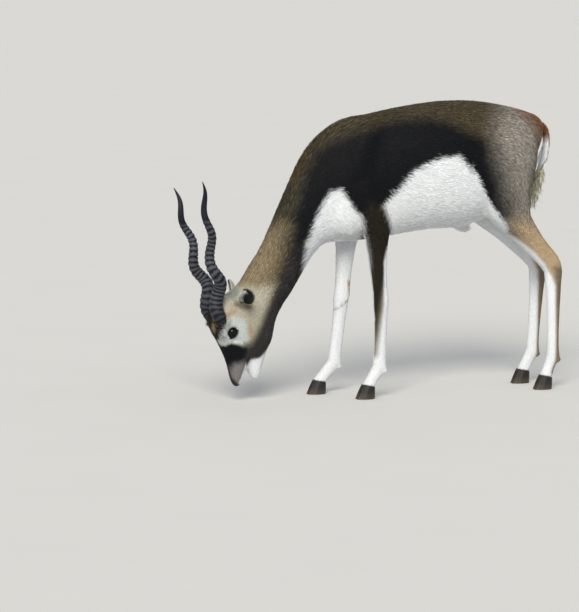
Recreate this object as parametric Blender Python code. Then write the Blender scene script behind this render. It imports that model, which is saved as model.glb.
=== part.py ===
"""A life-size blackbuck buck, grazing: head hanging to the ground, long ringed horns, on four cloven feet.

The animal faces -X, its left side is -Y and +Z is up. Lengths are in metres.
The flesh is one smooth form, lofted from outline sections read along the body, then parted by thin cuts.
"""

import math
import random

import bmesh
import bpy
from mathutils import Matrix, Vector

# Driving dimensions
GAP = 0.0003
ORIGIN = Vector((0.2492, -0.0010, 0.0))
SIDES = {"left": -1, "right": 1}

# Fineness of the flesh
VOXEL = 0.0044
BLEND_STEPS = 6
TRUNK_BLEND_STEPS = 60
FLESH_TRIANGLES = 6600
DETAIL_HOLD = 0.001
RING_POINTS = 28
SHARP_ANGLE = 50

# Colours, as linear RGB
COAT_BROWN = (0.070, 0.050, 0.036)
COAT_TAN = (0.300, 0.180, 0.085)
COAT_WHITE = (0.720, 0.690, 0.620)
HORN_GREY = (0.075, 0.068, 0.062)
EYE_BLACK = (0.012, 0.008, 0.006)
HOOF_BLACK = (0.020, 0.018, 0.017)

# Sections of trunk, neck, skull and upper jaw, from the rump to the nose:
# (upper x, upper z), (lower x, lower z), half width, level of the widest point, squareness
BODY_SECTIONS = [
    ((0.748, 0.740), (0.730, 0.675), 0.034, 0.50, 2.0),
    ((0.734, 0.762), (0.700, 0.625), 0.070, 0.50, 2.1),
    ((0.698, 0.777), (0.662, 0.570), 0.098, 0.50, 2.2),
    ((0.643, 0.793), (0.624, 0.522), 0.116, 0.50, 2.2),
    ((0.560, 0.808), (0.562, 0.476), 0.126, 0.45, 2.2),
    ((0.480, 0.812), (0.482, 0.455), 0.135, 0.43, 2.2),
    ((0.400, 0.808), (0.400, 0.453), 0.133, 0.43, 2.2),
    ((0.300, 0.794), (0.300, 0.440), 0.119, 0.45, 2.2),
    ((0.217, 0.779), (0.212, 0.430), 0.101, 0.46, 2.1),
    ((0.160, 0.771), (0.148, 0.426), 0.087, 0.46, 2.0),
    ((0.100, 0.741), (0.095, 0.420), 0.076, 0.44, 2.0),
    ((0.039, 0.680), (0.060, 0.385), 0.066, 0.45, 2.0),
    ((-0.021, 0.560), (0.034, 0.344), 0.058, 0.48, 2.0),
    ((-0.079, 0.434), (0.006, 0.298), 0.051, 0.50, 2.0),
    ((-0.117, 0.374), (-0.020, 0.262), 0.047, 0.50, 2.0),
    ((-0.146, 0.330), (-0.038, 0.226), 0.046, 0.50, 2.0),
    ((-0.176, 0.304), (-0.046, 0.200), 0.048, 0.50, 2.1),
    ((-0.212, 0.280), (-0.049, 0.184), 0.050, 0.52, 2.2),
    ((-0.237, 0.240), (-0.053, 0.168), 0.051, 0.55, 2.3),
    ((-0.231, 0.208), (-0.060, 0.152), 0.049, 0.55, 2.3),
    ((-0.214, 0.175), (-0.070, 0.133), 0.042, 0.55, 2.3),
    ((-0.198, 0.145), (-0.085, 0.118), 0.036, 0.55, 2.3),
    ((-0.185, 0.115), (-0.118, 0.098), 0.031, 0.55, 2.3),
    ((-0.177, 0.088), (-0.136, 0.080), 0.0275, 0.50, 2.3),
    ((-0.171, 0.066), (-0.144, 0.061), 0.0255, 0.50, 2.3),
    ((-0.165, 0.050), (-0.147, 0.048), 0.0210, 0.50, 2.1),
    ((-0.159, 0.043), (-0.149, 0.042), 0.0120, 0.50, 2.0),
]
# The lower jaw, hanging a little open
JAW_SECTIONS = [
    ((-0.150, 0.150), (-0.068, 0.135), 0.028, 0.50, 2.2),
    ((-0.138, 0.118), (-0.076, 0.110), 0.027, 0.50, 2.2),
    ((-0.130, 0.099), (-0.082, 0.090), 0.0235, 0.50, 2.2),
    ((-0.122, 0.083), (-0.087, 0.073), 0.0195, 0.50, 2.2),
    ((-0.116, 0.070), (-0.091, 0.062), 0.0160, 0.50, 2.1),
    ((-0.110, 0.061), (-0.097, 0.057), 0.0100, 0.50, 2.0),
]

# Muscle and bone that stand out of that form: centre, radii, tilt in degrees about Y. Made on both sides.
SWELLINGS = {
    "shoulder_blade": ((0.184, 0.050, 0.640), (0.070, 0.046, 0.130), 20),
    "shoulder_point": ((0.146, 0.050, 0.515), (0.056, 0.042, 0.070), 0),
    "upper_arm": ((0.214, 0.066, 0.535), (0.060, 0.036, 0.085), -10),
    "haunch": ((0.614, 0.070, 0.645), (0.090, 0.060, 0.135), 12),
    "thigh": ((0.610, 0.078, 0.545), (0.072, 0.044, 0.095), -22),
    "hip_bone": ((0.588, 0.058, 0.760), (0.045, 0.030, 0.030), 15),
    "cheek": ((-0.100, 0.024, 0.178), (0.040, 0.021, 0.034), 0),
    "brow": ((-0.186, 0.030, 0.202), (0.027, 0.021, 0.028), 0),
    "horn_seat": ((-0.205, 0.036, 0.226), (0.0245, 0.0235, 0.0240), 0),
    "cheek_bone": ((-0.176, 0.030, 0.172), (0.028, 0.013, 0.014), 30),
    "lip": ((-0.156, 0.011, 0.066), (0.013, 0.014, 0.020), -10),
}
SHEATH = ((0.505, 0.0, 0.456), (0.034, 0.014, 0.016), 18)

# Legs: joints as (x, z) of shoulder or hip, elbow or stifle, knee or hock, fetlock and coronet
FORE_JOINTS = {
    "left": [(0.190, 0.600), (0.226, 0.470), (0.240, 0.262), (0.235, 0.086), (0.206, 0.036)],
    "right": [(0.172, 0.600), (0.196, 0.470), (0.174, 0.262), (0.152, 0.085), (0.112, 0.036)],
}
HIND_JOINTS = {
    "left": [(0.640, 0.640), (0.600, 0.525), (0.761, 0.345), (0.758, 0.092), (0.738, 0.037)],
    "right": [(0.636, 0.640), (0.596, 0.525), (0.767, 0.345), (0.755, 0.092), (0.728, 0.037)],
}
# Rows of a leg: joint number, share of the way to the next joint, half depth in front and behind,
# half width, distance from the animal's middle
FORE_ROWS = [
    (0, 0.00, 0.056, 0.056, 0.034, 0.068),
    (0, 0.60, 0.052, 0.054, 0.034, 0.068),
    (1, 0.00, 0.041, 0.044, 0.031, 0.068),
    (1, 0.22, 0.032, 0.033, 0.026, 0.067),
    (1, 0.50, 0.0260, 0.0265, 0.0225, 0.066),
    (1, 0.80, 0.0205, 0.0245, 0.0195, 0.066),
    (1, 0.93, 0.0205, 0.0265, 0.0205, 0.066),
    (2, 0.03, 0.0205, 0.0245, 0.0205, 0.066),
    (2, 0.14, 0.0180, 0.0240, 0.0180, 0.066),
    (2, 0.35, 0.0160, 0.0230, 0.0150, 0.066),
    (2, 0.70, 0.0155, 0.0220, 0.0145, 0.066),
    (2, 0.90, 0.0165, 0.0225, 0.0160, 0.066),
    (3, 0.00, 0.0175, 0.0235, 0.0172, 0.066),
    (3, 0.45, 0.0165, 0.0190, 0.0160, 0.066),
    (3, 1.00, 0.0175, 0.0185, 0.0175, 0.066),
    (3, 1.25, 0.0175, 0.0185, 0.0175, 0.066),
]
HIND_ROWS = [
    (0, 0.00, 0.090, 0.062, 0.048, 0.074),
    (0, 0.55, 0.086, 0.060, 0.050, 0.077),
    (1, 0.00, 0.064, 0.066, 0.045, 0.078),
    (1, 0.22, 0.054, 0.050, 0.036, 0.075),
    (1, 0.48, 0.042, 0.036, 0.028, 0.068),
    (1, 0.74, 0.0345, 0.0300, 0.0215, 0.062),
    (1, 0.92, 0.0315, 0.0305, 0.0200, 0.059),
    (2, 0.04, 0.0290, 0.0285, 0.0200, 0.058),
    (2, 0.16, 0.0250, 0.0270, 0.0180, 0.059),
    (2, 0.35, 0.0195, 0.0240, 0.0155, 0.061),
    (2, 0.72, 0.0170, 0.0200, 0.0145, 0.064),
    (2, 0.92, 0.0175, 0.0200, 0.0160, 0.066),
    (3, 0.00, 0.0180, 0.0220, 0.0170, 0.066),
    (3, 0.45, 0.0165, 0.0180, 0.0158, 0.066),
    (3, 1.00, 0.0175, 0.0185, 0.0175, 0.066),
    (3, 1.25, 0.0175, 0.0185, 0.0175, 0.066),
]
LEG_RING_POINTS = 20
DEW_CLAW_RADII = (0.0070, 0.0055, 0.0085)
DEW_CLAW_OFFSET = (0.0185, 0.0090, -0.010)

# Hooves: each has two claws with a cleft between them, under a coronet that slopes to the heel
CORONET_SLOPE = -0.22
CLAW_WIDTH = 0.0172
CLEFT = 0.0024
CLAW_LEVELS = (0.0, 0.10, 0.45, 0.80, 1.0)
CLAW_POINTS = 14
SOLE_FORWARD = 0.010
CLAW_SOLE_HALF = 0.0265
CLAW_TOP_HALF = 0.0170

# Horns: base, lean of each from base to tip, and the coil about that line
HORN_BASE = (-0.2076, 0.034, 0.2237)
HORN_LEAN = {"left": (-0.0787, 0.0728, 0.3905), "right": (-0.0871, 0.0728, 0.3569)}
HORN_PHASE = 80
HORN_TURNS = 2.65
HORN_TIGHTENING = 0.32
# Share of the height, coil radius, horn radius
HORN_ROWS = [
    (0.00, 0.0040, 0.0190),
    (0.12, 0.0090, 0.0185),
    (0.30, 0.0118, 0.0160),
    (0.50, 0.0074, 0.0122),
    (0.72, 0.0063, 0.0095),
    (0.88, 0.0050, 0.0066),
    (1.00, 0.0038, 0.0010),
]
HORN_RINGS = 22
RINGED_SHARE = (0.06, 0.74)
RING_DEPTH = 0.0016
HORN_SIDES = 10
HORN_ROW_STEPS = 8
HORN_SEAT_SHARE = 0.30

# Eyes
EYE_CENTRE = (-0.1775, 0.0335, 0.1970)
EYE_RADIUS = 0.0185
EYE_LOOK = (-0.25, 0.96, 0.10)
EYE_LONG_AXIS = (0.64, 0.0, 0.77)
EYE_OPENING = (0.0132, 0.0172)
LID_THICKNESS = 0.0022

# Nostrils, and the slit of the scent gland before each eye: centre, radii, tilt about Y
NOSTRIL = ((-0.1675, 0.0185, 0.0520), (0.0045, 0.0080, 0.0026), 40)
GLAND_SLIT = ((-0.1830, 0.0420, 0.1600), (0.0030, 0.0100, 0.0080), 25)

# Ears: root, axis and the way the cup opens
EAR_ROOT = (-0.150, 0.036, 0.285)
EAR_AXIS = {"left": (-0.10, 0.97, 0.23), "right": (0.23, 0.93, 0.18)}
EAR_OPENS = {"left": (-0.92, 0.0, -0.40), "right": (-0.92, 0.0, -0.20)}
# Distance from the root, half width, half thickness
EAR_ROWS = [
    (0.008, 0.0085, 0.0085),
    (0.022, 0.0105, 0.0100),
    (0.042, 0.0185, 0.0125),
    (0.070, 0.0225, 0.0120),
    (0.098, 0.0190, 0.0090),
    (0.122, 0.0110, 0.0052),
    (0.134, 0.0030, 0.0020),
]
EAR_POINTS = 16
EAR_EDGE = 0.0007
EAR_SKIN = 0.0026
EAR_HOLLOW_SHIFT = 0.0085
EAR_STEM_RADIUS = 0.0082
EAR_STEM_LENGTH = 0.018
EAR_SOCKET_DEPTH = 0.006
EAR_SEAT_REACH = 0.030

# Tail: core rows of x, z, half thickness and half width, then its locks of hair
TAIL_ROWS = [
    (0.7200, 0.7400, 0.0120, 0.0130),
    (0.7410, 0.7370, 0.0120, 0.0145),
    (0.7570, 0.7220, 0.0115, 0.0165),
    (0.7630, 0.6930, 0.0110, 0.0180),
    (0.7590, 0.6500, 0.0105, 0.0190),
    (0.7480, 0.6100, 0.0090, 0.0175),
    (0.7360, 0.5750, 0.0055, 0.0120),
    (0.7300, 0.5580, 0.0020, 0.0040),
]
TAIL_POINTS = 14
TAIL_SEAT_ROWS = 3
# Locks of hair: the stretch of the core that they grow on, the way they hang, and their sizes
TAIL_LOCKS = 14
LOCK_STRETCH = (0.42, 0.90)
LOCK_SWING = -0.22
LOCK_FAN = 0.20
LOCK_DROOP = 0.10
LOCK_LENGTH = 0.085
LOCK_HALF_WIDTH = 0.0062
LOCK_HALF_THICKNESS = 0.0024
# Share of a lock's length, share of its width
LOCK_TAPER = [(0.0, 0.55), (0.3, 1.0), (0.65, 0.75), (1.0, 0.12)]
LOCK_SEED = 7
GOLDEN_TURN = 2.39996

# Cutting blocks between the flesh parts: centre, turn about Y in degrees, half sizes
HEAD_BLOCK = ((-0.232, 0.0, 0.085), 45.0, (0.190, 0.120, 0.2347))
NECK_BLOCK = ((-0.182, 0.0, 0.400), 9.85, (0.276, 0.200, 0.420))
FORE_BLOCK = ((0.170, 0.100, 0.200), 0.0, (0.130, 0.095, 0.214))
HIND_BLOCK = ((0.791, 0.100, 0.321), -43.0, (0.320, 0.094, 0.230))


def material(name, colour, roughness):
    """One plain Principled finish."""
    made = bpy.data.materials.new(name)
    made.use_nodes = True
    shader = made.node_tree.nodes["Principled BSDF"]
    shader.inputs["Base Color"].default_value = (*colour, 1.0)
    shader.inputs["Roughness"].default_value = roughness
    shader.inputs["Metallic"].default_value = 0.0
    return made


def object_from(name, sheet):
    """Puts a working mesh into the scene as an object, and frees it."""
    mesh = bpy.data.meshes.new(name)
    sheet.to_mesh(mesh)
    sheet.free()
    obj = bpy.data.objects.new(name, mesh)
    bpy.context.scene.collection.objects.link(obj)
    return obj


def loft(name, rings):
    """A closed body through rings of equal size, with a cap at each end."""
    sheet = bmesh.new()
    rows = [[sheet.verts.new(point) for point in ring] for ring in rings]
    size = len(rows[0])
    for low, high in zip(rows, rows[1:]):
        for i in range(size):
            j = (i + 1) % size
            sheet.faces.new((low[i], low[j], high[j], high[i]))
    sheet.faces.new(rows[0][::-1])
    sheet.faces.new(rows[-1])
    bmesh.ops.recalc_face_normals(sheet, faces=sheet.faces)
    return object_from(name, sheet)


def curve_value(t, a, b, c, d):
    """The Catmull-Rom curve through b and c at share t of the way."""
    return 0.5 * (
        2 * b + (c - a) * t + (2 * a - 5 * b + 4 * c - d) * t * t + (3 * b - a - 3 * c + d) * t ** 3
    )


def curved(rows, steps):
    """Rows of numbers, with more rows between them on a smooth curve."""
    found = []
    for i in range(len(rows) - 1):
        around = [rows[max(i - 1, 0)], rows[i], rows[i + 1], rows[min(i + 2, len(rows) - 1)]]
        for step in range(steps):
            found.append([curve_value(step / steps, *values) for values in zip(*around)])
    found.append(list(rows[-1]))
    return found


def value_at(rows, place):
    """Each column of rows at this place of the first column, on straight lines between the rows."""
    for low, high in zip(rows, rows[1:]):
        if place <= high[0]:
            share = (place - low[0]) / (high[0] - low[0])
            return [a + (b - a) * share for a, b in zip(low[1:], high[1:])]
    return list(rows[-1][1:])


def signed_power(value, power):
    return math.copysign(abs(value) ** power, value)


def oval(centre, up, side, above, below, half_width, squareness, count):
    """A ring with its own height above and below the centre, from round (2) to boxy (3 and more)."""
    points = []
    for i in range(count):
        turn = math.tau * i / count
        rise = signed_power(math.cos(turn), 2 / squareness)
        reach = signed_power(math.sin(turn), 2 / squareness)
        points.append(centre + up * rise * (above if rise > 0 else below) + side * reach * half_width)
    return points


def trunk_form(name, sections):
    """A loft through sections of head, neck and trunk."""
    rings = []
    flat = [[*upper, *lower, *rest] for upper, lower, *rest in sections]
    for upper_x, upper_z, lower_x, lower_z, half_width, level, squareness in curved(flat, 3):
        upper, lower = Vector((upper_x, 0, upper_z)), Vector((lower_x, 0, lower_z))
        centre = lower.lerp(upper, level)
        up = (upper - lower).normalized()
        above, below = (upper - centre).length, (lower - centre).length
        rings.append(
            oval(centre, up, Vector((0, 1, 0)), above, below, half_width, squareness, RING_POINTS)
        )
    return loft(name, rings)


def ball(name, centre, radii, tilt=0.0, segments=20):
    """An ellipsoid, tilted about Y."""
    sheet = bmesh.new()
    bmesh.ops.create_uvsphere(sheet, u_segments=segments, v_segments=segments // 2, radius=1.0)
    turned = Matrix.Rotation(math.radians(tilt), 4, "Y") @ Matrix.Diagonal((*radii, 1.0))
    sheet.transform(Matrix.Translation(centre) @ turned)
    return object_from(name, sheet)


def on_side(point, side):
    """The point on the animal's left (-1) or right (1) side."""
    return Vector((point[0], point[1] * side, point[2]))


def leg_form(name, joints, rows, side):
    """A loft down a leg, its rings square to the line through the joints."""
    joints = [Vector((x, 0, z)) for x, z in joints]
    places = []
    for joint, share, *rest in rows:
        place = joints[joint].lerp(joints[joint + 1], share)
        places.append([place.x, place.z, *rest])
    places = curved(places, 3)
    rings = []
    for i, (x, z, front, back, half_width, spread) in enumerate(places):
        before, after = places[max(i - 1, 0)], places[min(i + 1, len(places) - 1)]
        along = Vector((after[0] - before[0], 0, after[1] - before[1])).normalized()
        forward = along.cross(Vector((0, 1, 0)))
        if forward.x > 0:
            forward.negate()
        centre = Vector((x, side * spread, z))
        rings.append(
            oval(centre, forward, Vector((0, 1, 0)), front, back, half_width, 2.1, LEG_RING_POINTS)
        )
    return loft(name, rings)


def dew_claws(joints, side, spread):
    """The two small claws behind a fetlock."""
    x, z = joints[3]
    away, apart, rise = DEW_CLAW_OFFSET
    return [
        ball("dew_claw", (x + away, side * spread + across * apart, z + rise), DEW_CLAW_RADII, 20, 12)
        for across in (-1, 1)
    ]


def flesh_forms():
    """Every form that the smooth skin is made of."""
    forms = [trunk_form("trunk", BODY_SECTIONS), trunk_form("jaw", JAW_SECTIONS), ball("sheath", *SHEATH)]
    for side in (-1, 1):
        for name, (centre, radii, tilt) in SWELLINGS.items():
            forms.append(ball(name, on_side(centre, side), radii, tilt))
    for name, side in SIDES.items():
        for joints, rows in ((FORE_JOINTS[name], FORE_ROWS), (HIND_JOINTS[name], HIND_ROWS)):
            forms.append(leg_form("leg", joints, rows, side))
            forms.extend(dew_claws(joints, side, rows[-1][-1]))
    return forms


def joined(name, objects):
    """One object holding every mesh of these objects, which are removed."""
    sheet = bmesh.new()
    for obj in objects:
        sheet.from_mesh(obj.data)
        bpy.data.objects.remove(obj)
    return object_from(name, sheet)


def settled(obj):
    """Gives the object the mesh that its modifiers make, and removes them."""
    graph = bpy.context.evaluated_depsgraph_get()
    mesh = bpy.data.meshes.new_from_object(obj.evaluated_get(graph))
    obj.modifiers.clear()
    obj.data = mesh
    return obj


def ramp(value, start, end):
    """0 before start, 1 after end, and a smooth rise between."""
    share = min(max((value - start) / (end - start), 0.0), 1.0)
    return share * share * (3 - 2 * share)


def fused_skin(obj):
    """Melts overlapping bodies into one smooth skin, smoothed more on the trunk than on head and legs."""
    remesh = obj.modifiers.new("melt", "REMESH")
    remesh.mode = "VOXEL"
    remesh.voxel_size = VOXEL
    settled(obj)
    trunk = obj.vertex_groups.new(name="trunk")
    for vertex in obj.data.vertices:
        x, y, z = vertex.co
        trunk.add([vertex.index], ramp(z, 0.40, 0.52) * ramp(x, -0.06, 0.06), "REPLACE")
    for group, steps in (("", BLEND_STEPS), ("trunk", TRUNK_BLEND_STEPS)):
        smooth = obj.modifiers.new("blend", "SMOOTH")
        smooth.factor = 0.5
        smooth.iterations = steps
        smooth.vertex_group = group
    settled(obj)
    obj.vertex_groups.clear()
    return obj


def thinned(obj, triangles):
    """Reduces the skin to about this many triangles, and keeps more of them on the head and feet."""
    group = obj.vertex_groups.new(name="plain")
    for vertex in obj.data.vertices:
        on_head = vertex.co.x < -0.05 and vertex.co.z < 0.31
        on_foot = vertex.co.z < 0.12
        group.add([vertex.index], 0.4 if on_head else 0.8 if on_foot else 1.0, "REPLACE")
    full = sum(len(face.vertices) - 2 for face in obj.data.polygons)
    thin = obj.modifiers.new("thin", "DECIMATE")
    thin.ratio = triangles / full
    thin.vertex_group = "plain"
    thin.vertex_group_factor = DETAIL_HOLD
    settled(obj)
    obj.vertex_groups.clear()
    return obj


def block(shape, side, grown=0.0):
    """A cutting block, on one side of the animal or across it."""
    centre, turn, half_sizes = shape
    sizes = [half_size + grown for half_size in half_sizes]
    sheet = bmesh.new()
    bmesh.ops.create_cube(sheet, size=2.0)
    sized = Matrix.Rotation(math.radians(turn), 4, "Y") @ Matrix.Diagonal((*sizes, 1.0))
    sheet.transform(Matrix.Translation(on_side(centre, side)) @ sized)
    return object_from("block", sheet)


def cut(obj, tool, operation):
    """Applies one Boolean, and removes the tool."""
    tool.hide_render = True
    tool.display_type = "WIRE"
    modifier = obj.modifiers.new("cut", "BOOLEAN")
    modifier.operation = operation
    modifier.object = tool
    modifier.solver = "EXACT"
    settled(obj)
    bpy.data.objects.remove(tool)
    return obj


def parted(flesh, name, shape, side=1):
    """Takes one piece out of the flesh, and leaves a thin gap between them."""
    piece = bpy.data.objects.new(name, flesh.data.copy())
    bpy.context.scene.collection.objects.link(piece)
    cut(piece, block(shape, side), "INTERSECT")
    cut(flesh, block(shape, side, GAP), "DIFFERENCE")
    return tidied(piece)


def tidied(obj):
    """Keeps the largest closed surface of the object, in triangles."""
    sheet = bmesh.new()
    sheet.from_mesh(obj.data)
    bmesh.ops.remove_doubles(sheet, verts=sheet.verts, dist=1e-6)
    bmesh.ops.dissolve_degenerate(sheet, dist=1e-5, edges=sheet.edges)
    bmesh.ops.triangulate(sheet, faces=sheet.faces)
    left, shells = set(sheet.verts), []
    while left:
        shell, reached = set(), [left.pop()]
        while reached:
            vertex = reached.pop()
            shell.add(vertex)
            for link in vertex.link_edges:
                other = link.other_vert(vertex)
                if other in left:
                    left.discard(other)
                    reached.append(other)
        shells.append(shell)
    keep = max(shells, key=len)
    bmesh.ops.delete(sheet, geom=[v for v in sheet.verts if v not in keep], context="VERTS")
    sheet.to_mesh(obj.data)
    sheet.free()
    return obj


def fused(name, objects):
    """One closed body from overlapping ones."""
    first, rest = objects[0], objects[1:]
    group = bpy.data.collections.new(name + " pieces")
    for obj in rest:
        group.objects.link(obj)
    modifier = first.modifiers.new("fuse", "BOOLEAN")
    modifier.operand_type = "COLLECTION"
    modifier.collection = group
    modifier.operation = "UNION"
    modifier.solver = "EXACT"
    settled(first)
    for obj in rest:
        bpy.data.objects.remove(obj)
    bpy.data.collections.remove(group)
    first.name = name
    return tidied(first)


def coronet_height(joints, x):
    """The slanting top of a hoof."""
    return joints[4][1] + CORONET_SLOPE * (x - joints[4][0])


def trimmed_at_coronet(leg, joints):
    """Cuts a leg along the slanting top of its hoof, and closes the cut."""
    sheet = bmesh.new()
    sheet.from_mesh(leg.data)
    found = bmesh.ops.bisect_plane(
        sheet,
        geom=[*sheet.verts, *sheet.edges, *sheet.faces],
        plane_co=(joints[4][0], 0, joints[4][1] + GAP),
        plane_no=(-CORONET_SLOPE, 0, 1),
        clear_inner=True,
    )
    rim = [item for item in found["geom_cut"] if isinstance(item, bmesh.types.BMEdge)]
    bmesh.ops.contextual_create(sheet, geom=rim)
    bmesh.ops.recalc_face_normals(sheet, faces=sheet.faces)
    sheet.to_mesh(leg.data)
    sheet.free()
    return tidied(leg)


def claw(name, joints, side, spread, across):
    """One claw: flat on the cleft side, round outside, pointed at the toe and flat on the ground."""
    top_x = joints[4][0]
    rings = []
    for level in CLAW_LEVELS:
        bulge = math.sin(math.pi * level)
        half_length = CLAW_SOLE_HALF + (CLAW_TOP_HALF - CLAW_SOLE_HALF) * level + 0.0006 * bulge
        width = CLAW_WIDTH + 0.0010 * (1 - level) + 0.0006 * bulge
        middle = top_x - SOLE_FORWARD * (1 - level)
        ring = []
        for i in range(CLAW_POINTS):
            turn = math.tau * i / CLAW_POINTS
            along, out = -math.cos(turn), math.sin(turn)
            toe = 1 - 0.30 * max(-along, 0) ** 2 * (1 - level)
            reach = 0.25 + 0.75 * out * toe if out > 0 else 0.25 * (1 - math.sqrt(-out))
            x = middle + along * half_length
            y = side * spread + across * (CLEFT / 2 + width * reach)
            ring.append(Vector((x, y, level * coronet_height(joints, x))))
        rings.append(ring)
    return loft(name, rings)


def horn_path(name, share):
    """The horn's middle and radius at this share of its height, on the animal's left side."""
    base = Vector((HORN_BASE[0], -HORN_BASE[1], HORN_BASE[2]))
    lean = Vector((HORN_LEAN[name][0], -HORN_LEAN[name][1], HORN_LEAN[name][2]))
    axis = lean.normalized()
    outward = (Vector((0, -1, 0)) + axis * axis.y).normalized()
    forward = outward.cross(axis)
    if forward.x > 0:
        forward.negate()
    coil, radius = value_at(curved(HORN_ROWS, HORN_ROW_STEPS), share)
    turn = math.radians(HORN_PHASE) - math.tau * (HORN_TURNS * share + HORN_TIGHTENING * share * share)
    return base + lean * share + coil * (forward * math.cos(turn) + outward * math.sin(turn)), radius


def horn(object_name, name, side, grown=0.0, top=1.0):
    """A ringed horn coiling up from the head, or a slightly larger copy of its lower part."""
    first, last = RINGED_SHARE
    shares = [first * i / 3 for i in range(3)]
    for ring in range(HORN_RINGS):
        pitch = (last - first) / HORN_RINGS
        shares.extend(first + (ring + part) * pitch for part in (0.0, 0.38, 0.76))
    shares.extend(last + (1 - last) * i / 7 for i in range(8))
    shares = [share for share in shares if share <= top]
    rings = []
    for share in shares:
        centre, radius = horn_path(name, share)
        ahead, behind = horn_path(name, share + 0.01)[0], horn_path(name, share - 0.01)[0]
        along = (ahead - behind).normalized()
        radius += grown
        if first <= share < last:
            phase = (share - first) / (last - first) * HORN_RINGS % 1.0
            radius += -RING_DEPTH if phase < 0.1 or phase > 0.95 else RING_DEPTH * 0.4
        if share == 0.0:
            centre = centre - along * grown
        across = along.cross(Vector((0, 1, 0))).normalized()
        beside = along.cross(across)
        ring = oval(centre, across, beside, radius, radius, radius, 2.0, HORN_SIDES)
        rings.append([Vector((p.x, -p.y * side, p.z)) for p in ring])
    return loft(object_name, rings)


def frame_about(axis, hint):
    """A rotation whose Z is the axis and whose X is as near as can be to the hint."""
    z = Vector(axis).normalized()
    x = Vector(hint)
    x = (x - z * x.dot(z)).normalized()
    y = z.cross(x)
    return Matrix((x, y, z)).transposed()


def rod(name, centre, axis, radius, start, end, segments=20):
    """A round rod along an axis, between two distances from the centre."""
    turned = frame_about(axis, (1, 0, 0))
    middle = Vector(centre)
    return loft(
        name,
        [
            [
                middle + turned @ Vector((radius * math.cos(a), radius * math.sin(a), along))
                for a in (math.tau * i / segments for i in range(segments))
            ]
            for along in (start, end)
        ],
    )


def leaf(name, root, turned, rows, shrink, shift, steps):
    """A leaf-shaped body along the Z of its frame, with its thickness along X."""
    rings = []
    for along, half_width, half_thickness in curved(rows, steps):
        centre = root + turned @ Vector((shift * half_thickness / EAR_ROWS[2][2], 0, along))
        wide, thick = max(half_width - shrink, EAR_EDGE), max(half_thickness - shrink, EAR_EDGE)
        rings.append(oval(centre, turned.col[0], turned.col[1], thick, thick, wide, 2.0, EAR_POINTS))
    return loft(name, rings)


def ear(object_name, name, side):
    """An ear: a leaf hollowed from the side that it opens to, on a round stem."""
    root = on_side(EAR_ROOT, side)
    axis = on_side(EAR_AXIS[name], side)
    turned = frame_about(axis, on_side(EAR_OPENS[name], side))
    cup = leaf("cup", root, turned, EAR_ROWS, 0.0, 0.0, 2)
    hollow = leaf("hollow", root, turned, EAR_ROWS[1:-1], EAR_SKIN, EAR_HOLLOW_SHIFT, 2)
    cut(cup, hollow, "DIFFERENCE")
    stem = rod("stem", root, axis, EAR_STEM_RADIUS, -EAR_SOCKET_DEPTH, EAR_STEM_LENGTH)
    return fused(object_name, [cup, stem])


def fitted_head(head):
    """Sets lids, eye sockets, nostrils, gland slits and the seats of horns and ears into the head."""
    for name, side in SIDES.items():
        centre, look = on_side(EYE_CENTRE, side), on_side(EYE_LOOK, side)
        lid = EYE_RADIUS + LID_THICKNESS
        cut(head, ball("lids", centre, (lid, lid, lid), 0, 20), "UNION")
        socket = EYE_RADIUS + GAP
        cut(head, ball("socket", centre, (socket, socket, socket), 0, 20), "DIFFERENCE")
        cut(head, eye_opening(centre, look), "DIFFERENCE")
        for hollow, radii, tilt in (NOSTRIL, GLAND_SLIT):
            cut(head, ball("hollow", on_side(hollow, side), radii, tilt, 12), "DIFFERENCE")
        cut(head, horn("seat", name, side, GAP, HORN_SEAT_SHARE), "DIFFERENCE")
        axis = on_side(EAR_AXIS[name], side)
        root, deep = on_side(EAR_ROOT, side), EAR_SOCKET_DEPTH + GAP
        cut(head, rod("seat", root, axis, EAR_STEM_RADIUS + GAP, -deep, EAR_SEAT_REACH), "DIFFERENCE")
    return tidied(head)


def eye_opening(centre, look):
    """The almond opening between the lids, as a rod through them."""
    turned = frame_about(look, EYE_LONG_AXIS)
    short, long = EYE_OPENING
    return loft(
        "opening",
        [
            [
                centre + turned @ Vector((long * math.cos(a), short * math.sin(a), along))
                for a in (math.tau * i / 20 for i in range(20))
            ]
            for along in (0.004, 0.060)
        ],
    )


def lock(root, down, side, length):
    """One flat tapered lock of hair."""
    side = (side - down * side.dot(down)).normalized()
    outward = down.cross(side)
    rings = []
    for share, wide in LOCK_TAPER:
        centre = root + down * length * share
        centre.z -= LOCK_DROOP * length * share * share
        across = side * LOCK_HALF_WIDTH * wide
        through = outward * LOCK_HALF_THICKNESS * (1 - share / 2)
        rings.append([centre + across, centre + through, centre - across, centre - through])
    return loft("lock", rings)


def tail_core(name, rows, grown=0.0):
    """The flat core of the tail, bending down from the rump."""
    places = curved(rows, 2)
    rings = []
    for i, (x, z, half_thickness, half_width) in enumerate(places):
        before, after = places[max(i - 1, 0)], places[min(i + 1, len(places) - 1)]
        along = Vector((after[0] - before[0], 0, after[1] - before[1])).normalized()
        out = Vector((0, 1, 0)).cross(along)
        centre = Vector((x, 0, z)) - along * (grown if i == 0 else 0.0)
        thick = half_thickness + grown
        wide = half_width + grown
        rings.append(oval(centre, out, Vector((0, 1, 0)), thick, thick, wide, 2.0, TAIL_POINTS))
    return loft(name, rings)


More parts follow.
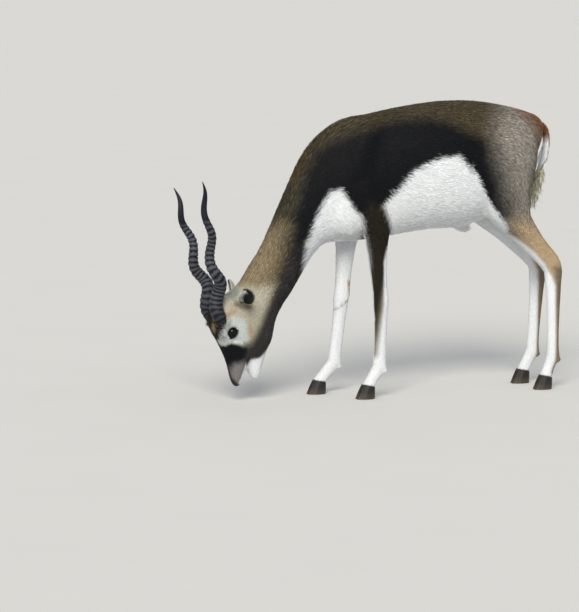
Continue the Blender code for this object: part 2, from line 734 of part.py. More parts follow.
def tail():
    """The tail: a flat core, fringed with locks of hair."""
    pieces = [tail_core("core", TAIL_ROWS)]
    chance = random.Random(LOCK_SEED)
    fine_rows = curved(TAIL_ROWS, 10)
    first, last = LOCK_STRETCH
    for i in range(TAIL_LOCKS):
        share = first + (last - first) * i / (TAIL_LOCKS - 1)
        turn = GOLDEN_TURN * i
        x, z, half_thickness, half_width = fine_rows[int(share * (len(fine_rows) - 1))]
        across = math.cos(turn)
        back = abs(math.sin(turn))
        root = Vector((x + back * half_thickness / 2, across * half_width * 0.7, z))
        down = Vector((LOCK_SWING + LOCK_FAN * back / 2, across * LOCK_FAN, -1)).normalized()
        length = LOCK_LENGTH * chance.uniform(0.75, 1.15) * (1 - share / 3)
        pieces.append(lock(root, down, Vector((across / 4, 1, 0)), length))
    return fused("tail", pieces)


def finished(obj, colour, roughness):
    """The last touches of a node: its material, smooth shading and its place about the origin."""
    obj.data.materials.clear()
    obj.data.materials.append(material(obj.name + " finish", colour, roughness))
    obj.data.transform(Matrix.Translation(-ORIGIN))
    obj.data.shade_smooth()
    obj.data.set_sharp_from_angle(angle=math.radians(SHARP_ANGLE))


def main():
    for obj in list(bpy.data.objects):
        bpy.data.objects.remove(obj)
    torso = thinned(fused_skin(joined("torso", flesh_forms())), FLESH_TRIANGLES)
    head = fitted_head(parted(torso, "head", HEAD_BLOCK))
    finished(head, COAT_TAN, 0.85)
    finished(parted(torso, "neck", NECK_BLOCK), COAT_TAN, 0.85)
    for name, side in SIDES.items():
        for limb, joints, shape, rows in (
            ("foreleg", FORE_JOINTS[name], FORE_BLOCK, FORE_ROWS),
            ("hindleg", HIND_JOINTS[name], HIND_BLOCK, HIND_ROWS),
        ):
            leg = parted(torso, f"{limb}_{name}", shape, side)
            finished(trimmed_at_coronet(leg, joints), COAT_WHITE, 0.85)
            for place, across in (("inner", -side), ("outer", side)):
                hoof = claw(f"hoof_{limb[:4]}_{name}_{place}", joints, side, rows[-1][-1], across)
                finished(tidied(hoof), HOOF_BLACK, 0.5)
        eye_radii = (EYE_RADIUS, EYE_RADIUS, EYE_RADIUS)
        finished(tidied(ball(f"eye_{name}", on_side(EYE_CENTRE, side), eye_radii)), EYE_BLACK, 0.1)
        finished(tidied(horn(f"horn_{name}", name, side)), HORN_GREY, 0.55)
        finished(ear(f"ear_{name}", name, side), COAT_TAN, 0.85)
    cut(torso, tail_core("seat", TAIL_ROWS[:TAIL_SEAT_ROWS], GAP), "DIFFERENCE")
    finished(tidied(torso), COAT_BROWN, 0.85)
    finished(tail(), COAT_WHITE, 0.85)


main()
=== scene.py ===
"""Looks of a life-size blackbuck buck, grazing: hide with a short coat, eyes, ringed horns, hooves and tail.

Lengths are in metres. The animal faces -X, its left side is -Y and +Z is up.
"""

import math

import bmesh
import bpy
import numpy as np
from mathutils import Matrix, Vector, noise


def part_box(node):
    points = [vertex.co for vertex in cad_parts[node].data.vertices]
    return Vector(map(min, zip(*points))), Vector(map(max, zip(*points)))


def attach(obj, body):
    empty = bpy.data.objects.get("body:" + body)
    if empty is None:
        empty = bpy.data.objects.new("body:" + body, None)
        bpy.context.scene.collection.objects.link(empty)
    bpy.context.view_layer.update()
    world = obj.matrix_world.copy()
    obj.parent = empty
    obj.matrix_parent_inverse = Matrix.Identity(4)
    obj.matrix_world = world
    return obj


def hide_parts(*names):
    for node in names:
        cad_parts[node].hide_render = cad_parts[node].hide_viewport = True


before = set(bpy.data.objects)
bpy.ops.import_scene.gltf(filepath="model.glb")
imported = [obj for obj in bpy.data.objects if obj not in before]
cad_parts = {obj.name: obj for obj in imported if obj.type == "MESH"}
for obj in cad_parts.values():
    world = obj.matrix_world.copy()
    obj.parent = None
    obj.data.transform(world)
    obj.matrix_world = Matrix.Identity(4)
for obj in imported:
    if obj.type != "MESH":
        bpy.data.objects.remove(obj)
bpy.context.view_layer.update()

bl_info = {
    "name": "Grazing blackbuck",
    "version": (1, 0, 0),
    "blender": (4, 5, 0),
    "location": "3D View > Sidebar > Blackbuck",
    "description": "Builds the coat, eyes, horns, hooves and tail of a grazing blackbuck, and a plain studio",
    "category": "Object",
}

SIDES = {"left": -1, "right": 1}
MIDDLE_Y = 0.001

# The flesh that one hide stands for. The eyeballs only fill their sockets while it is made.
FLESH = (
    "torso", "neck", "head", "foreleg_left", "foreleg_right", "hindleg_left", "hindleg_right",
)
EYEBALLS = ("eye_left", "eye_right")


def linear(hex_colour):
    """The linear RGB of an sRGB hex colour."""
    parts = [int(hex_colour[i:i + 2], 16) / 255 for i in (1, 3, 5)]
    return tuple(v / 12.92 if v <= 0.04045 else ((v + 0.055) / 1.055) ** 2.4 for v in parts)


# Markings, and a few painted shades and shadows, as closed outlines in the side view (x, z), painted in this
# order over black hair:
# the hair, softness of the edge, faces it reaches, outline. All lengths are in millimetres.
MARKINGS = {
    "back": ("brown", 26, "all", [
        (-150, 880), (-180, 690), (-113, 720), (-46, 742), (21, 762), (130, 766), (180, 752), (230, 728),
        (300, 700), (400, 690), (560, 690), (560, 880),
    ]),
    "haunch": ("grizzle", 60, "all", [
        (400, 860), (345, 780), (310, 725), (312, 660), (338, 600), (356, 540), (370, 480), (395, 440),
        (480, 400), (580, 500), (580, 700), (480, 860),
    ]),
    "haunch behind": ("brown", 22, "all", [
        (446, 700), (424, 620), (418, 550), (432, 490), (460, 470), (560, 550), (560, 700),
    ]),
    "rump": ("rust", 40, "all", [
        (385, 880), (400, 780), (436, 740), (456, 700), (470, 650), (560, 640), (560, 880),
    ]),
    "gaskin": ("orange", 40, "all", [
        (360, 475), (400, 480), (440, 480), (480, 472), (580, 440), (580, 240), (440, 240), (430, 380),
    ]),
    "hind foot": ("tan", 20, "all", [(400, 260), (580, 260), (580, -20), (400, -20)]),
    "hock behind": ("dun", 14, "all", [(506, 345), (511, 300), (519, 240), (580, 240), (580, 350)]),
    "nape": ("olive", 18, "all", [
        (-140, 745), (-178, 692), (-216, 620), (-241, 540), (-277, 457), (-450, 457), (-450, 860),
        (-140, 860),
    ]),
    "nape edge": ("gold", 9, "all", [
        (-40, 860), (-62, 785), (-104, 768), (-148, 744), (-184, 704), (-215, 658), (-246, 590), (-350, 590),
        (-350, 860),
    ]),
    "neck": ("tan", 44, "all", [
        (-280, 470), (-284, 440), (-295, 379), (-315, 319), (-325, 260), (-340, 205), (-372, 160),
        (-400, 150), (-600, 150), (-600, 480),
    ]),
    "brisket": ("white", 9, "all", [
        (-160, 570), (-178, 540), (-204, 489), (-219, 434), (-226, 375), (-215, 300), (-20, 300), (-20, 470),
        (-90, 520), (-130, 580),
    ]),
    "belly": ("white", 9, "all", [
        (-90, 480), (-30, 520), (20, 575), (60, 622), (98, 645), (140, 660), (196, 666), (215, 640),
        (243, 598), (298, 528), (356, 459), (300, 300), (-90, 300),
    ]),
    "forelegs": ("white", 20, "all", [(-220, 430), (80, 430), (80, -40), (-220, -40)]),
    "shin": ("dun", 12, "outer", [(-4, 360), (-8, 240), (-22, 120), (-40, 110), (-40, 240), (-46, 360)]),
    "elbow left": ("dark brown", 13, "left outer", [
        (-72, 500), (-60, 550), (-10, 530), (22, 460), (24, 400), (2, 340), (-12, 270), (-26, 170),
        (-32, 170), (-40, 330), (-52, 420),
    ]),
    "elbow right": ("dark brown", 13, "right outer", [
        (-106, 500), (-92, 550), (-40, 530), (-14, 460), (-16, 400), (-36, 340), (-66, 270), (-96, 170),
        (-102, 170), (-86, 330), (-92, 420),
    ]),
    "foreleg behind": ("white", 5, "left", [
        (3, 420), (-6, 380), (-3, 262), (-12, 120), (-30, 50), (80, 30), (80, 420),
    ]),
    "hind leg front": ("white", 6, "all", [
        (227, 640), (258, 590), (306, 517), (356, 449), (410, 414), (450, 384), (480, 352), (500, 320),
        (513, 290), (515, 151), (512, 80), (500, 50), (530, -20), (300, -20), (300, 350), (240, 500),
    ]),
    "inside": ("white", 8, "inner", [
        (-220, -20), (-220, 500), (-60, 560), (300, 600), (440, 560), (455, 440), (485, 370), (510, 320),
        (515, 151), (512, 80), (530, -20),
    ]),
    "knee behind": ("orange", 5, "right", [(-62, 315), (-35, 315), (-30, 262), (-52, 264)]),
    # Painted shade: a thin dark line in the knee's crease
    "painted shade in the knee crease": ("dun", 2, "right", [(-58, 262), (-97, 233), (-98, 230), (-58, 258)]),
    "scut": ("white", 10, "rear", [(380, 560), (440, 690), (520, 700), (560, 500), (460, 450)]),
    "cheek": ("grey", 18, "all", [
        (-302, 318), (-344, 213), (-373, 160), (-400, 150), (-600, 150), (-600, 305),
    ]),
    "jaw": ("charcoal", 20, "all", [
        (-250, 420), (-288, 345), (-308, 305), (-344, 216), (-372, 170), (-398, 156), (-460, 160),
        (-540, 160), (-500, 60), (-430, 0), (-330, 40), (-260, 160), (-230, 300),
    ]),
    "face": ("black", 6, "all", [
        (-390, 150), (-408, 160), (-440, 163), (-540, 163), (-500, 90), (-425, 98), (-393, 118),
    ]),
    "muzzle": ("muzzle", 12, "outer", [
        (-418, 108), (-394, 112), (-382, 90), (-390, 30), (-436, 30), (-432, 80),
    ]),
    "chin": ("white", 5, "all", [
        (-372, 118), (-345, 120), (-324, 138), (-315, 154), (-300, 140), (-320, 40), (-385, 50), (-392, 80),
    ]),
    "lip": ("white", 3, "all", [
        (-386, 108), (-380, 90), (-389, 68), (-397, 50), (-404, 52), (-396, 72), (-390, 92),
    ]),
    "nose": ("charcoal", 4, "all", [(-450, 80), (-430, 74), (-414, 62), (-404, 50), (-404, 20), (-450, 20)]),
    # Painted shade: the nostril's opening is painted black over its shallow dent
    "nostril": ("black", 1.2, "outer", [
        (-421.2, 56.2), (-418, 55.6), (-414.5, 52), (-412, 48), (-416, 49.2), (-419.2, 52),
    ]),
    # Painted shade: the gap between the lips, a thin black line over the mouth's groove
    "mouth": ("black", 1, "outer", [
        (-385, 108), (-382.5, 118), (-379, 127), (-377.5, 126.5), (-380.5, 117), (-383, 107),
    ]),
    "forehead": ("dark brown", 5, "all", [
        (-540, 262), (-466, 258), (-456, 235), (-456, 200), (-456, 165), (-452, 150), (-540, 150),
    ]),
    "brow line": ("tan", 3, "outer", [(-478, 236), (-470, 236), (-470, 186), (-478, 186)]),
    "eye ring": ("pale", 6, "outer", [
        (-457, 204), (-448, 228), (-430, 240), (-402, 232), (-384, 212), (-379, 195), (-384, 173),
        (-404, 162), (-425, 163), (-446, 165), (-457, 180),
    ]),
    "eye ring behind": ("pale", 6, "outer", [
        (-424, 236), (-403, 230), (-387, 210), (-383, 194), (-387, 174), (-405, 164), (-422, 165),
        (-406, 180), (-404, 208),
    ]),
    "under the eye": ("white", 2, "outer", [
        (-424, 171), (-410, 166), (-396, 168), (-398, 173), (-410, 171), (-422, 175),
    ]),
    "tear mark": ("black", 4, "outer", [
        (-430, 166), (-408, 160), (-390, 150), (-388, 128), (-440, 118), (-450, 150),
    ]),
    "gland spot": ("pale", 3, "outer", [(-462, 174), (-448, 176), (-438, 166), (-443, 158), (-457, 159)]),
    "cheek spot": ("fawn", 8, "outer", [(-388, 214), (-377, 210), (-371, 195), (-376, 180), (-384, 186)]),
    "brow spot": ("fawn", 8, "outer", [(-444, 248), (-430, 257), (-418, 253), (-428, 246), (-442, 241)]),
    "ear base": ("sheath", 7, "outer", [(-438, 296), (-424, 318), (-404, 318), (-406, 294), (-424, 284)]),
    # Painted shadow: the shade below the ear, in dun hair
    "under the ear": ("dun", 7, "outer", [
        (-422, 284), (-398, 272), (-374, 272), (-370, 258), (-396, 255), (-424, 268),
    ]),
}

# A marking that keeps to outer, inner or rear faces rises from nothing to full as their normals turn
# that way by these amounts. A rear one also ends at this distance from the middle, negative here.
OUTER_FACES = (0.0, 0.3)
INNER_FACES = (0.0, 0.35)
REAR_FACES = (0.0, 0.4)
REAR_WIDTH = (-0.055, -0.035)

# The kinds of hair: colour at the root, colour at the tip, and where it grows
HAIRS = {
    "black": ("#030406", "#13151b", "neck, shoulders and flanks"),
    "brown": ("#221d15", "#665c45", "the back"),
    "dark_brown": ("#0f0d0a", "#302b20", "forehead and elbows"),
    "grizzle": ("#453f39", "#c8c1b6", "the haunches"),
    "charcoal": ("#08080a", "#4f4d4c", "throat and jaw"),
    # Dun hair under the ears is painted shadow
    "dun": ("#4c4135", "#9a8c79", "the forelegs' outer side, the hocks and under the ears"),
    "rust": ("#4f311d", "#996c4a", "the rump by the tail"),
    "orange": ("#7a6349", "#ecd3ae", "the hind legs' outer side"),
    "gold": ("#30240f", "#6a5733", "the nape's edge"),
    "olive": ("#1b1910", "#575140", "the upper neck"),
    "tan": ("#5c4f39", "#ab9b7c", "the lower neck"),
    "grey": ("#8a8370", "#d6d2c0", "the cheeks"),
    "sheath": ("#5f6660", "#a3aca5", "the ears' bases"),
    "muzzle": ("#4a4443", "#a8a3a2", "the muzzle's sides"),
    "fawn": ("#857055", "#c2a98c", "the spots round the eye rings"),
    "pale": ("#9aa19d", "#dfe3e1", "the eye rings"),
    "cream": ("#9d9984", "#dedccb", "the tail's tip"),
    "white": ("#cfd3d6", "#f8fafb", "belly, legs and chin"),
}

# Guides of the coat, on the animal's right side: place in millimetres, the way the hair lies, its
# length in millimetres and how far it stands out in degrees
GUIDES = [
    ((-418, 10, 60), (-0.3, 0.05, 0.95), 3, 12),
    ((-400, 22, 80), (0.25, 0.05, 0.95), 3, 12),
    ((-370, 12, 75), (0.45, 0.1, 0.9), 4, 12),
    ((-330, 0, 130), (0.5, 0, 0.86), 7, 14),
    ((-435, 10, 120), (-0.3, 0.05, 0.95), 4, 11),
    ((-470, 0, 180), (-0.2, 0, 0.98), 5, 11),
    ((-480, 0, 240), (0.05, 0, 1), 6, 12),
    ((-450, 0, 280), (0.6, 0, 0.8), 8, 14),
    ((-400, 40, 140), (0.3, 0.05, 0.95), 5, 11),
    ((-380, 50, 200), (0.55, 0.05, 0.84), 6, 11),
    ((-400, 48, 250), (0.5, 0.05, 0.86), 6, 11),
    ((-350, 45, 180), (0.55, 0, 0.84), 8, 12),
    ((-340, 45, 270), (0.45, 0, 0.89), 9, 12),
    ((-395, 0, 330), (0.5, 0, 0.87), 11, 13),
    ((-328, 20, 434), (0.43, 0, 0.9), 15, 12),
    ((-270, 20, 560), (0.45, 0, 0.89), 17, 12),
    ((-210, 20, 680), (0.55, 0, 0.83), 18, 13),
    ((-130, 20, 755), (0.85, 0, 0.5), 18, 13),
    ((-269, 20, 262), (0.5, 0, 0.86), 11, 13),
    ((-215, 20, 344), (0.62, 0, 0.78), 15, 13),
    ((-170, 30, 420), (0.8, 0, 0.55), 18, 14),
    ((-200, 60, 560), (0.55, 0, 0.83), 15, 11),
    ((-100, 80, 660), (0.85, 0, 0.3), 14, 10),
    ((-60, 100, 600), (0.75, 0, -0.6), 13, 10),
    ((-110, 70, 520), (0.6, 0, -0.7), 14, 11),
    ((-100, 0, 430), (0.95, 0, -0.1), 18, 14),
    ((-30, 0, 775), (1, 0, 0.05), 15, 11),
    ((150, 0, 805), (1, 0, 0), 15, 10),
    ((350, 0, 800), (1, 0, -0.1), 15, 10),
    ((50, 110, 640), (1, 0, -0.2), 14, 10),
    ((200, 130, 620), (1, 0, -0.15), 14, 10),
    ((100, 60, 470), (1, 0, 0.05), 17, 12),
    ((270, 60, 480), (0.95, 0, 0.25), 16, 13),
    ((300, 115, 680), (0.9, 0, -0.35), 13, 10),
    ((340, 115, 560), (0.6, 0, -0.8), 12, 10),
    ((430, 80, 700), (0.7, 0, -0.7), 13, 11),
    ((470, 40, 640), (0.25, 0, -0.97), 15, 13),
    ((440, 80, 540), (0.25, 0, -0.97), 12, 11),
    ((400, 85, 450), (0.6, 0, -0.8), 9, 11),
    ((500, 70, 350), (0.35, 0, -0.94), 7, 11),
    ((505, 65, 220), (0.05, 0, -1), 5.5, 10),
    ((490, 70, 70), (-0.35, 0, -0.94), 6, 13),
    ((-20, 70, 480), (0.25, 0, -0.97), 11, 11),
    ((-10, 68, 360), (0.05, 0, -1), 8, 10),
    ((-10, 68, 260), (0, 0, -1), 6, 10),
    ((-16, 68, 150), (0, 0, -1), 5, 10),
    ((-40, 68, 60), (-0.4, 0, -0.92), 6, 13),
    ((-60, 68, 400), (0.05, 0, -1), 9, 10),
    ((-75, 68, 260), (-0.1, 0, -1), 6, 10),
    ((-90, 68, 150), (-0.1, 0, -1), 5, 10),
    ((-125, 68, 60), (-0.5, 0, -0.86), 6, 13),
]
GUIDE_REACH = 0.030

# Trunk and neck are smoothed by this much more, fully above the second height and behind the second x
TRUNK_PASSES = 60
TRUNK_HEIGHTS = (0.40, 0.50)
TRUNK_BACK = (-0.40, -0.28)
# The hide is sunk under hair of these lengths by these depths, and by the coat's depth under the longest
HAIR_LENGTHS = (0.003, 0.008, 0.016)
HIDE_DEPTHS = (0.0004, 0.0014)

# Neighbouring tufts turn and shade alike over this distance, as hair clumps
CLUMP = 0.011
CLUMP_TURN = 0.16
CLUMP_TONE = 0.22
TONE_SPREAD = 0.28
# How much of its tips' colour a tuft has at the root, by its number of bends
TIP_SHARE_AT_ROOT = {1: 0.40, 2: 0.10}
# From root to tip, tufts come this far towards their tips' colour, and none is brighter than this
PALENESS = (0.1, 1.2)
BRIGHTEST = 0.95
# The hide between tufts is this far from their roots' colour to their tips'
HIDE_PALENESS = 0.30
# A tuft is shaded as the body under it, but for this lean of its sides, so that the coat reads as one surface
TUFT_LEAN = 0.45
# A tuft is this much wider than its share of its length, this thick against its half width, and its
# root is sunk this deep
TUFT_LEAST_WIDTH = 0.0005
TUFT_THICKNESS = 0.45
TUFT_SINK = 0.0003
# Tufts vary by these shares in length, width and lift, and by this much in the way they lie
TUFT_LENGTHS = (0.75, 1.2)
TUFT_WIDTHS = (0.7, 1.2)
TUFT_LIFTS = (0.6, 1.4)
TUFT_TURN = 0.10
# A tuft bends down and narrows by this share over its length
TUFT_FALL = 0.35
# Its root has this share of its width, and its tip rises by this share of its lift
TUFT_ROOT = 0.75
TUFT_TIP_RISE = 0.55
# Body hair of at least this mean length bends once, and shorter hair is straight
LONG_HAIR = 0.009
# The edges of markings fray by this share of the hair's length
FRAYED = 0.18

# Coat pieces, each with the axis that its bake map is rolled round, from one end to the other
COAT_PIECES = {
    "coat_head": ((-0.400, 0.001, 0.050), (-0.380, 0.001, 0.330)),
    "coat_neck": ((-0.370, 0.001, 0.270), (-0.110, 0.001, 0.620)),
    "coat_shoulders": ((-0.160, 0.001, 0.610), (0.110, 0.001, 0.630)),
    "coat_loins": ((0.100, 0.001, 0.630), (0.310, 0.001, 0.635)),
    "coat_haunches": ((0.290, 0.001, 0.635), (0.490, 0.001, 0.640)),
    "coat_foreleg_left": ((-0.020, -0.066, 0.430), (-0.030, -0.066, 0.030)),
    "coat_foreleg_right": ((-0.060, 0.068, 0.430), (-0.120, 0.068, 0.030)),
    "coat_hindleg_left": ((0.400, -0.070, 0.520), (0.500, -0.066, 0.030)),
    "coat_hindleg_right": ((0.400, 0.072, 0.520), (0.490, 0.068, 0.030)),
}
BAKE_PATCH = 0.003
# Where the coat pieces meet: along x, in height for the legs, and for the head also by x + z
NECK_END = -0.150
WITHERS = (-0.08, 0.80)
SHOULDERS_END = 0.110
LOINS_END = 0.300
FORELEGS = (-0.19, 0.2)
HIND_LEGS_START = 0.25
LEG_TOPS = (0.36, 0.415, 0.44)
HEAD_TOP = 0.330
HEAD_END = -0.285
HEAD_SLANT = -0.045

# Dents and folds pressed into the hide, on both sides: from, to, reach, depth
FOLDS = {
    "flank": ((0.200, 0.120, 0.600), (0.285, 0.090, 0.500), 0.010, 0.0035),
    "heel cord": ((0.432, 0.095, 0.420), (0.500, 0.080, 0.365), 0.008, 0.0035),
    "elbow": ((-0.060, 0.088, 0.460), (-0.020, 0.088, 0.440), 0.010, 0.0030),
    "jaw edge": ((-0.345, 0.045, 0.160), (-0.320, 0.042, 0.230), 0.009, 0.0020),
    "nostril": ((-0.4205, 0.0175, 0.0552), (-0.4128, 0.0175, 0.0488), 0.0040, 0.0040),
    "gland slit": ((-0.4350, 0.043, 0.1530), (-0.4290, 0.043, 0.1670), 0.0040, 0.0020),
    "mouth": ((-0.3850, 0.020, 0.108), (-0.3780, 0.026, 0.127), 0.0040, 0.0030),
    "nose bridge": ((-0.430, 0.022, 0.100), (-0.455, 0.030, 0.150), 0.009, 0.0015),
}

# Horns, about a line from base to tip
HORN_BASE = (-0.4568, 0.0340, 0.2237)
HORN_LEAN = {"left": (-0.0787, 0.0728, 0.3905), "right": (-0.0871, 0.0728, 0.3569)}
HORN_PHASE = 80
HORN_TURNS = 2.65
HORN_TIGHTENING = 0.32
# Share of the height, coil radius, horn radius
HORN_ROWS = [
    (-0.05, 0.0040, 0.0112),
    (0.00, 0.0044, 0.0148),
    (0.03, 0.0052, 0.0168),
    (0.12, 0.0090, 0.0186),
    (0.30, 0.0118, 0.0160),
    (0.50, 0.0074, 0.0122),
    (0.72, 0.0063, 0.0095),
    (0.88, 0.0050, 0.0066),
    (1.00, 0.0038, 0.0010),
]
HORN_RINGS = 23
RINGED_SHARE = (0.0, 0.74)
# Hair grows up to this far from a horn's middle, and out to the second reach stands up against it
HORN_BARE_REACH = 0.0130
COLLAR_REACH = 0.0240
COLLAR_LENGTH = 0.0085
COLLAR_LIFT = 48.0
STEPS_PER_RING = 8
# The rings' crests keep this share of their painted highlight at the horn's foot, and all of it above this
# share of its height
FOOT_HIGHLIGHT_SHARE = 0.18
FOOT_SHARE = 0.20
HORN_SIDES = 36
ROOT_STEPS = 8
TIP_STEPS = 40
# Rings vary by these shares in depth, and fine flutes run along the horn
RING_STRENGTHS = (0.75, 1.15)
HORN_FLUTES = 17
FLUTE_DEPTH = 0.00018
HORN_SEEDS = {"left": 5, "right": 6}
# Rings wander up and down round the horn: share of a ring, waves round, and shift from ring to ring
RING_SWAY = ((0.10, 2, 1.3), (0.05, 3, 1.0))
# A ring's section is a half sine to this power, less this level, and fades over this share to its least
RING_POWER = 0.55
RING_LEVEL = 0.62
RING_FADE = (0.12, 0.35)
# Crests carry a painted highlight, paler from this height above the level, by this power and factor
CREST_LEVEL = 0.08
CREST_POWER = 1.6
CREST_FACTOR = 2.4
# The horn between crests is this much paler than a groove, and turns to the tip's colour over these shares
BETWEEN_CRESTS = 1.3
TIP_FADE = (0.1, 0.15)

# Eyes: the way they look, the long axis of the lids' almond, and its half sizes
EYE_LOOK = (-0.25, 0.96, 0.10)
EYE_LONG_AXIS = (0.64, 0.0, 0.77)
EYE_OPENING = (0.0136, 0.0182)
# The hide inside the opening lies this far behind the eyeball's face
SOCKET_GAP = 0.003
LID_HEIGHT = 0.0013
LID_THICKNESS = 0.0017
# Points along the lids' band and round it
LID_TURNS = 56
LID_RING = 10
# The band reaches past the almond's corners by this factor, narrows towards them by this share, and is
# thicker there by this much
LID_CORNERS = 1.04
LID_POINTED = 0.22
LID_THICKER = 0.0003
# The eyeball's radius is this much less than the CAD's
EYE_INSET = 0.0002
# The cornea bulges this far, from this share of the eyeball's radius over the rest of it
CORNEA_BULGE = 0.0010
CORNEA_START = 0.80
CORNEA_SHARE = 0.20
# The iris darkens to the rim between these distances from the eye's front
IRIS_EDGE = (0.0085, 0.0150)
# Hair stays this far off the lids' opening
LID_BARE = 0.0032

# Ears: the way each points, the way its cup opens, and where it is rooted
EAR_AXIS = {"left": (-0.10, 0.97, 0.23), "right": (0.23, 0.93, 0.18)}
EAR_OPENS = {"left": (-0.92, 0.0, -0.40), "right": (-0.92, 0.0, -0.20)}
EAR_ROOT = (-0.3992, 0.036, 0.285)
EAR_BARE_FOOT = 0.010
EAR_RIM_LEVEL = 0.008
# Pale hair grows only on the ear's upper front, where light falls, and the rest of the rim stays dark as
# painted shade: this way (x, z) from its axis, from and to these distances
EAR_LIT_PALE_WAY = (-0.80, 0.60)
EAR_LIT_PALE_FROM = (0.005, 0.013)
EAR_HAIR_SHORT = 0.0055
EAR_HAIR_LONG = 0.013
# Lengths vary by these shares, and the hair stands out by these degrees inside and behind the ear
EAR_HAIR_SPREAD = (0.7, 1.3)
EAR_HAIR_LIFTS = (26.0, 12.0)
# Faces turned this much towards the cup's opening are its inside
EAR_INWARD = 0.15
# Share of the inside that carries hair, against the back
EAR_HAIR_INSIDE = 0.40
EAR_HAIRS = 6000
# Width of a tuft as a share of its length
EAR_HAIR_WIDTH = 0.10
EAR_LENGTH = 0.13
# Painted shade: the inside of the ear's cup, dark greenish black
EAR_CUP_SHADE_COLOUR = linear("#141a14")

# The tail's hair, by height: height, the way it lies (x, z), its length in millimetres and its lift
TAIL_GUIDES = [
    (0.560, (-0.35, -0.94), 24, 3),
    (0.610, (-0.42, -0.91), 22, 3),
    (0.650, (-0.32, -0.95), 22, 3),
    (0.693, (-0.12, -0.99), 20, 4),
    (0.722, (0.40, -0.92), 16, 8),
    (0.738, (0.85, -0.52), 14, 10),
]

# The core lies this deep under the hair, and between these heights thins and pulls in to the buttocks
TAIL_INSET = 0.0035
TAIL_LOW = (0.660, 0.580)
TAIL_THINNER = 0.0035
TAIL_PULL = 0.012
# Its hair spreads sideways by this factor of the distance from the middle
TAIL_SPREAD = 6
# The tail's colours change between these heights
TAIL_RUST = (0.690, 0.715)
TAIL_CREAM = (0.640, 0.600)
TAIL_HAIRS = 4400
# Width of a tuft as a share of its length
TAIL_HAIR_WIDTH = 0.045
# The axis that the tail's bake map is rolled round
TAIL_BAKE_AXIS = ((0.505, 0.001, 0.760), (0.495, 0.001, 0.480))

# The claws' edges sharper than this angle are worn round by this much
CLAW_EDGE = 0.0010
CLAW_ANGLE = math.radians(40)
HOOF_COLOUR = linear("#1f1c1a")
DUST_COLOUR = linear("#6b5c49")

# Camera: azimuth and elevation in degrees, what it looks at, its distance, its lens and sensor width in
# millimetres, and how far it sees
CAMERA_AZIMUTH = -20.0
CAMERA_ELEVATION = 7.0
CAMERA_TARGET = (-0.2492, 0.0010, 0.2568)
CAMERA_DISTANCE = 8.82
CAMERA_LENS = 190.0
CAMERA_SENSOR = 36.0
CAMERA_FAR = 200.0
# The lamp's width and the way to it, and the colours that the studio gives its light
SUN_ANGLE = math.radians(30)
SUN_WAY = (-0.50, -1.0, 0.85)
SUN_COLOUR = linear("#fff9f0")
SKY_COLOUR = linear("#e6edf6")
FLOOR_RADIUS = 45.0
# The floor's paint is unevenly dark down to this share, in spots of this size
FLOOR_DARKEST = 0.985
FLOOR_SPOTS = 1 / 3


def colour_property(label, hex_colour, words):
    """A hair or horn colour that a user can change."""
    return bpy.props.FloatVectorProperty(
        name=label, description=words, subtype="COLOR", size=3, min=0.0, max=1.0, default=linear(hex_colour)
    )


class BlackbuckHide(bpy.types.PropertyGroup):
    """Sizes of the hide under the coat."""

    cell: bpy.props.FloatProperty(
        name="Cell", description="Size of the cells that the hide is first cast in",
        default=0.0019, min=0.001, max=0.01, precision=4, subtype="DISTANCE",
    )
    kept: bpy.props.FloatProperty(
        name="Kept faces", description="Share of the cast's faces that the hide keeps",
        default=0.22, min=0.05, max=1.0, subtype="FACTOR",
    )
    coat_depth: bpy.props.FloatProperty(
        name="Coat depth", description="How deep the hide lies under the tips of the longest body hair",
        default=0.0040, min=0.0, max=0.02, precision=4, subtype="DISTANCE",
    )


class BlackbuckCoat(bpy.types.PropertyGroup):
    """Sizes and colours of the hair."""

    length: bpy.props.FloatProperty(
        name="Length", description="Multiplies the length of every tuft", default=1.0, min=0.3, max=3.0,
    )
    layers: bpy.props.FloatProperty(
        name="Layers", description="How many tufts lie over each spot of the hide, on average",
        default=2.2, min=0.5, max=6.0,
    )
    width: bpy.props.FloatProperty(
        name="Width", description="Width of a tuft as a share of its length",
        default=0.12, min=0.02, max=0.5, subtype="FACTOR",
    )
    seed: bpy.props.IntProperty(name="Seed", description="Start of the coat's random draw", default=11, min=0)


# Two colours for each kind of hair, as black and black_tips
for hair, (root, tip, where) in HAIRS.items():
    for name, colour, part in ((hair, root, "Roots"), (hair + "_tips", tip, "Tips")):
        BlackbuckCoat.__annotations__[name] = colour_property(
            name.replace("_", " ").capitalize(), colour, f"{part} of the hair of {where}"
        )


class BlackbuckHorns(bpy.types.PropertyGroup):
    """Sizes and colours of the horns."""

    ring_depth: bpy.props.FloatProperty(
        name="Ring depth", description="How deep the grooves between the rings are",
        default=0.0027, min=0.0, max=0.01, precision=4, subtype="DISTANCE",
    )
    # The crests' pale colour is painted highlight
    crest_highlight: colour_property("Crest", "#5c5f69", "Rings' crests, pale with painted highlight")
    groove: colour_property("Groove", "#0f1012", "Grooves between the rings")
    tip: colour_property("Tip", "#191b24", "Smooth tips")


class BlackbuckEyes(bpy.types.PropertyGroup):
    """Colours of the eyes."""

    iris: colour_property("Iris", "#060403", "Nearly black iris")
    rim: colour_property("Rim", "#050404", "The eyeball's dark edge")
    lid: colour_property("Lid", "#0b0909", "Bare skin of the lids' edges")


class BlackbuckStudio(bpy.types.PropertyGroup):
    """The plain studio."""

    floor: colour_property("Floor", "#d2d0cb", "Pale floor")
    sky: bpy.props.FloatProperty(
        name="Sky", description="Strength of the even light from all round", default=0.66, min=0.0, max=5.0,
    )
    key: bpy.props.FloatProperty(
        name="Key", description="Strength of the wide soft lamp", default=3.0, min=0.0, max=20.0,
    )


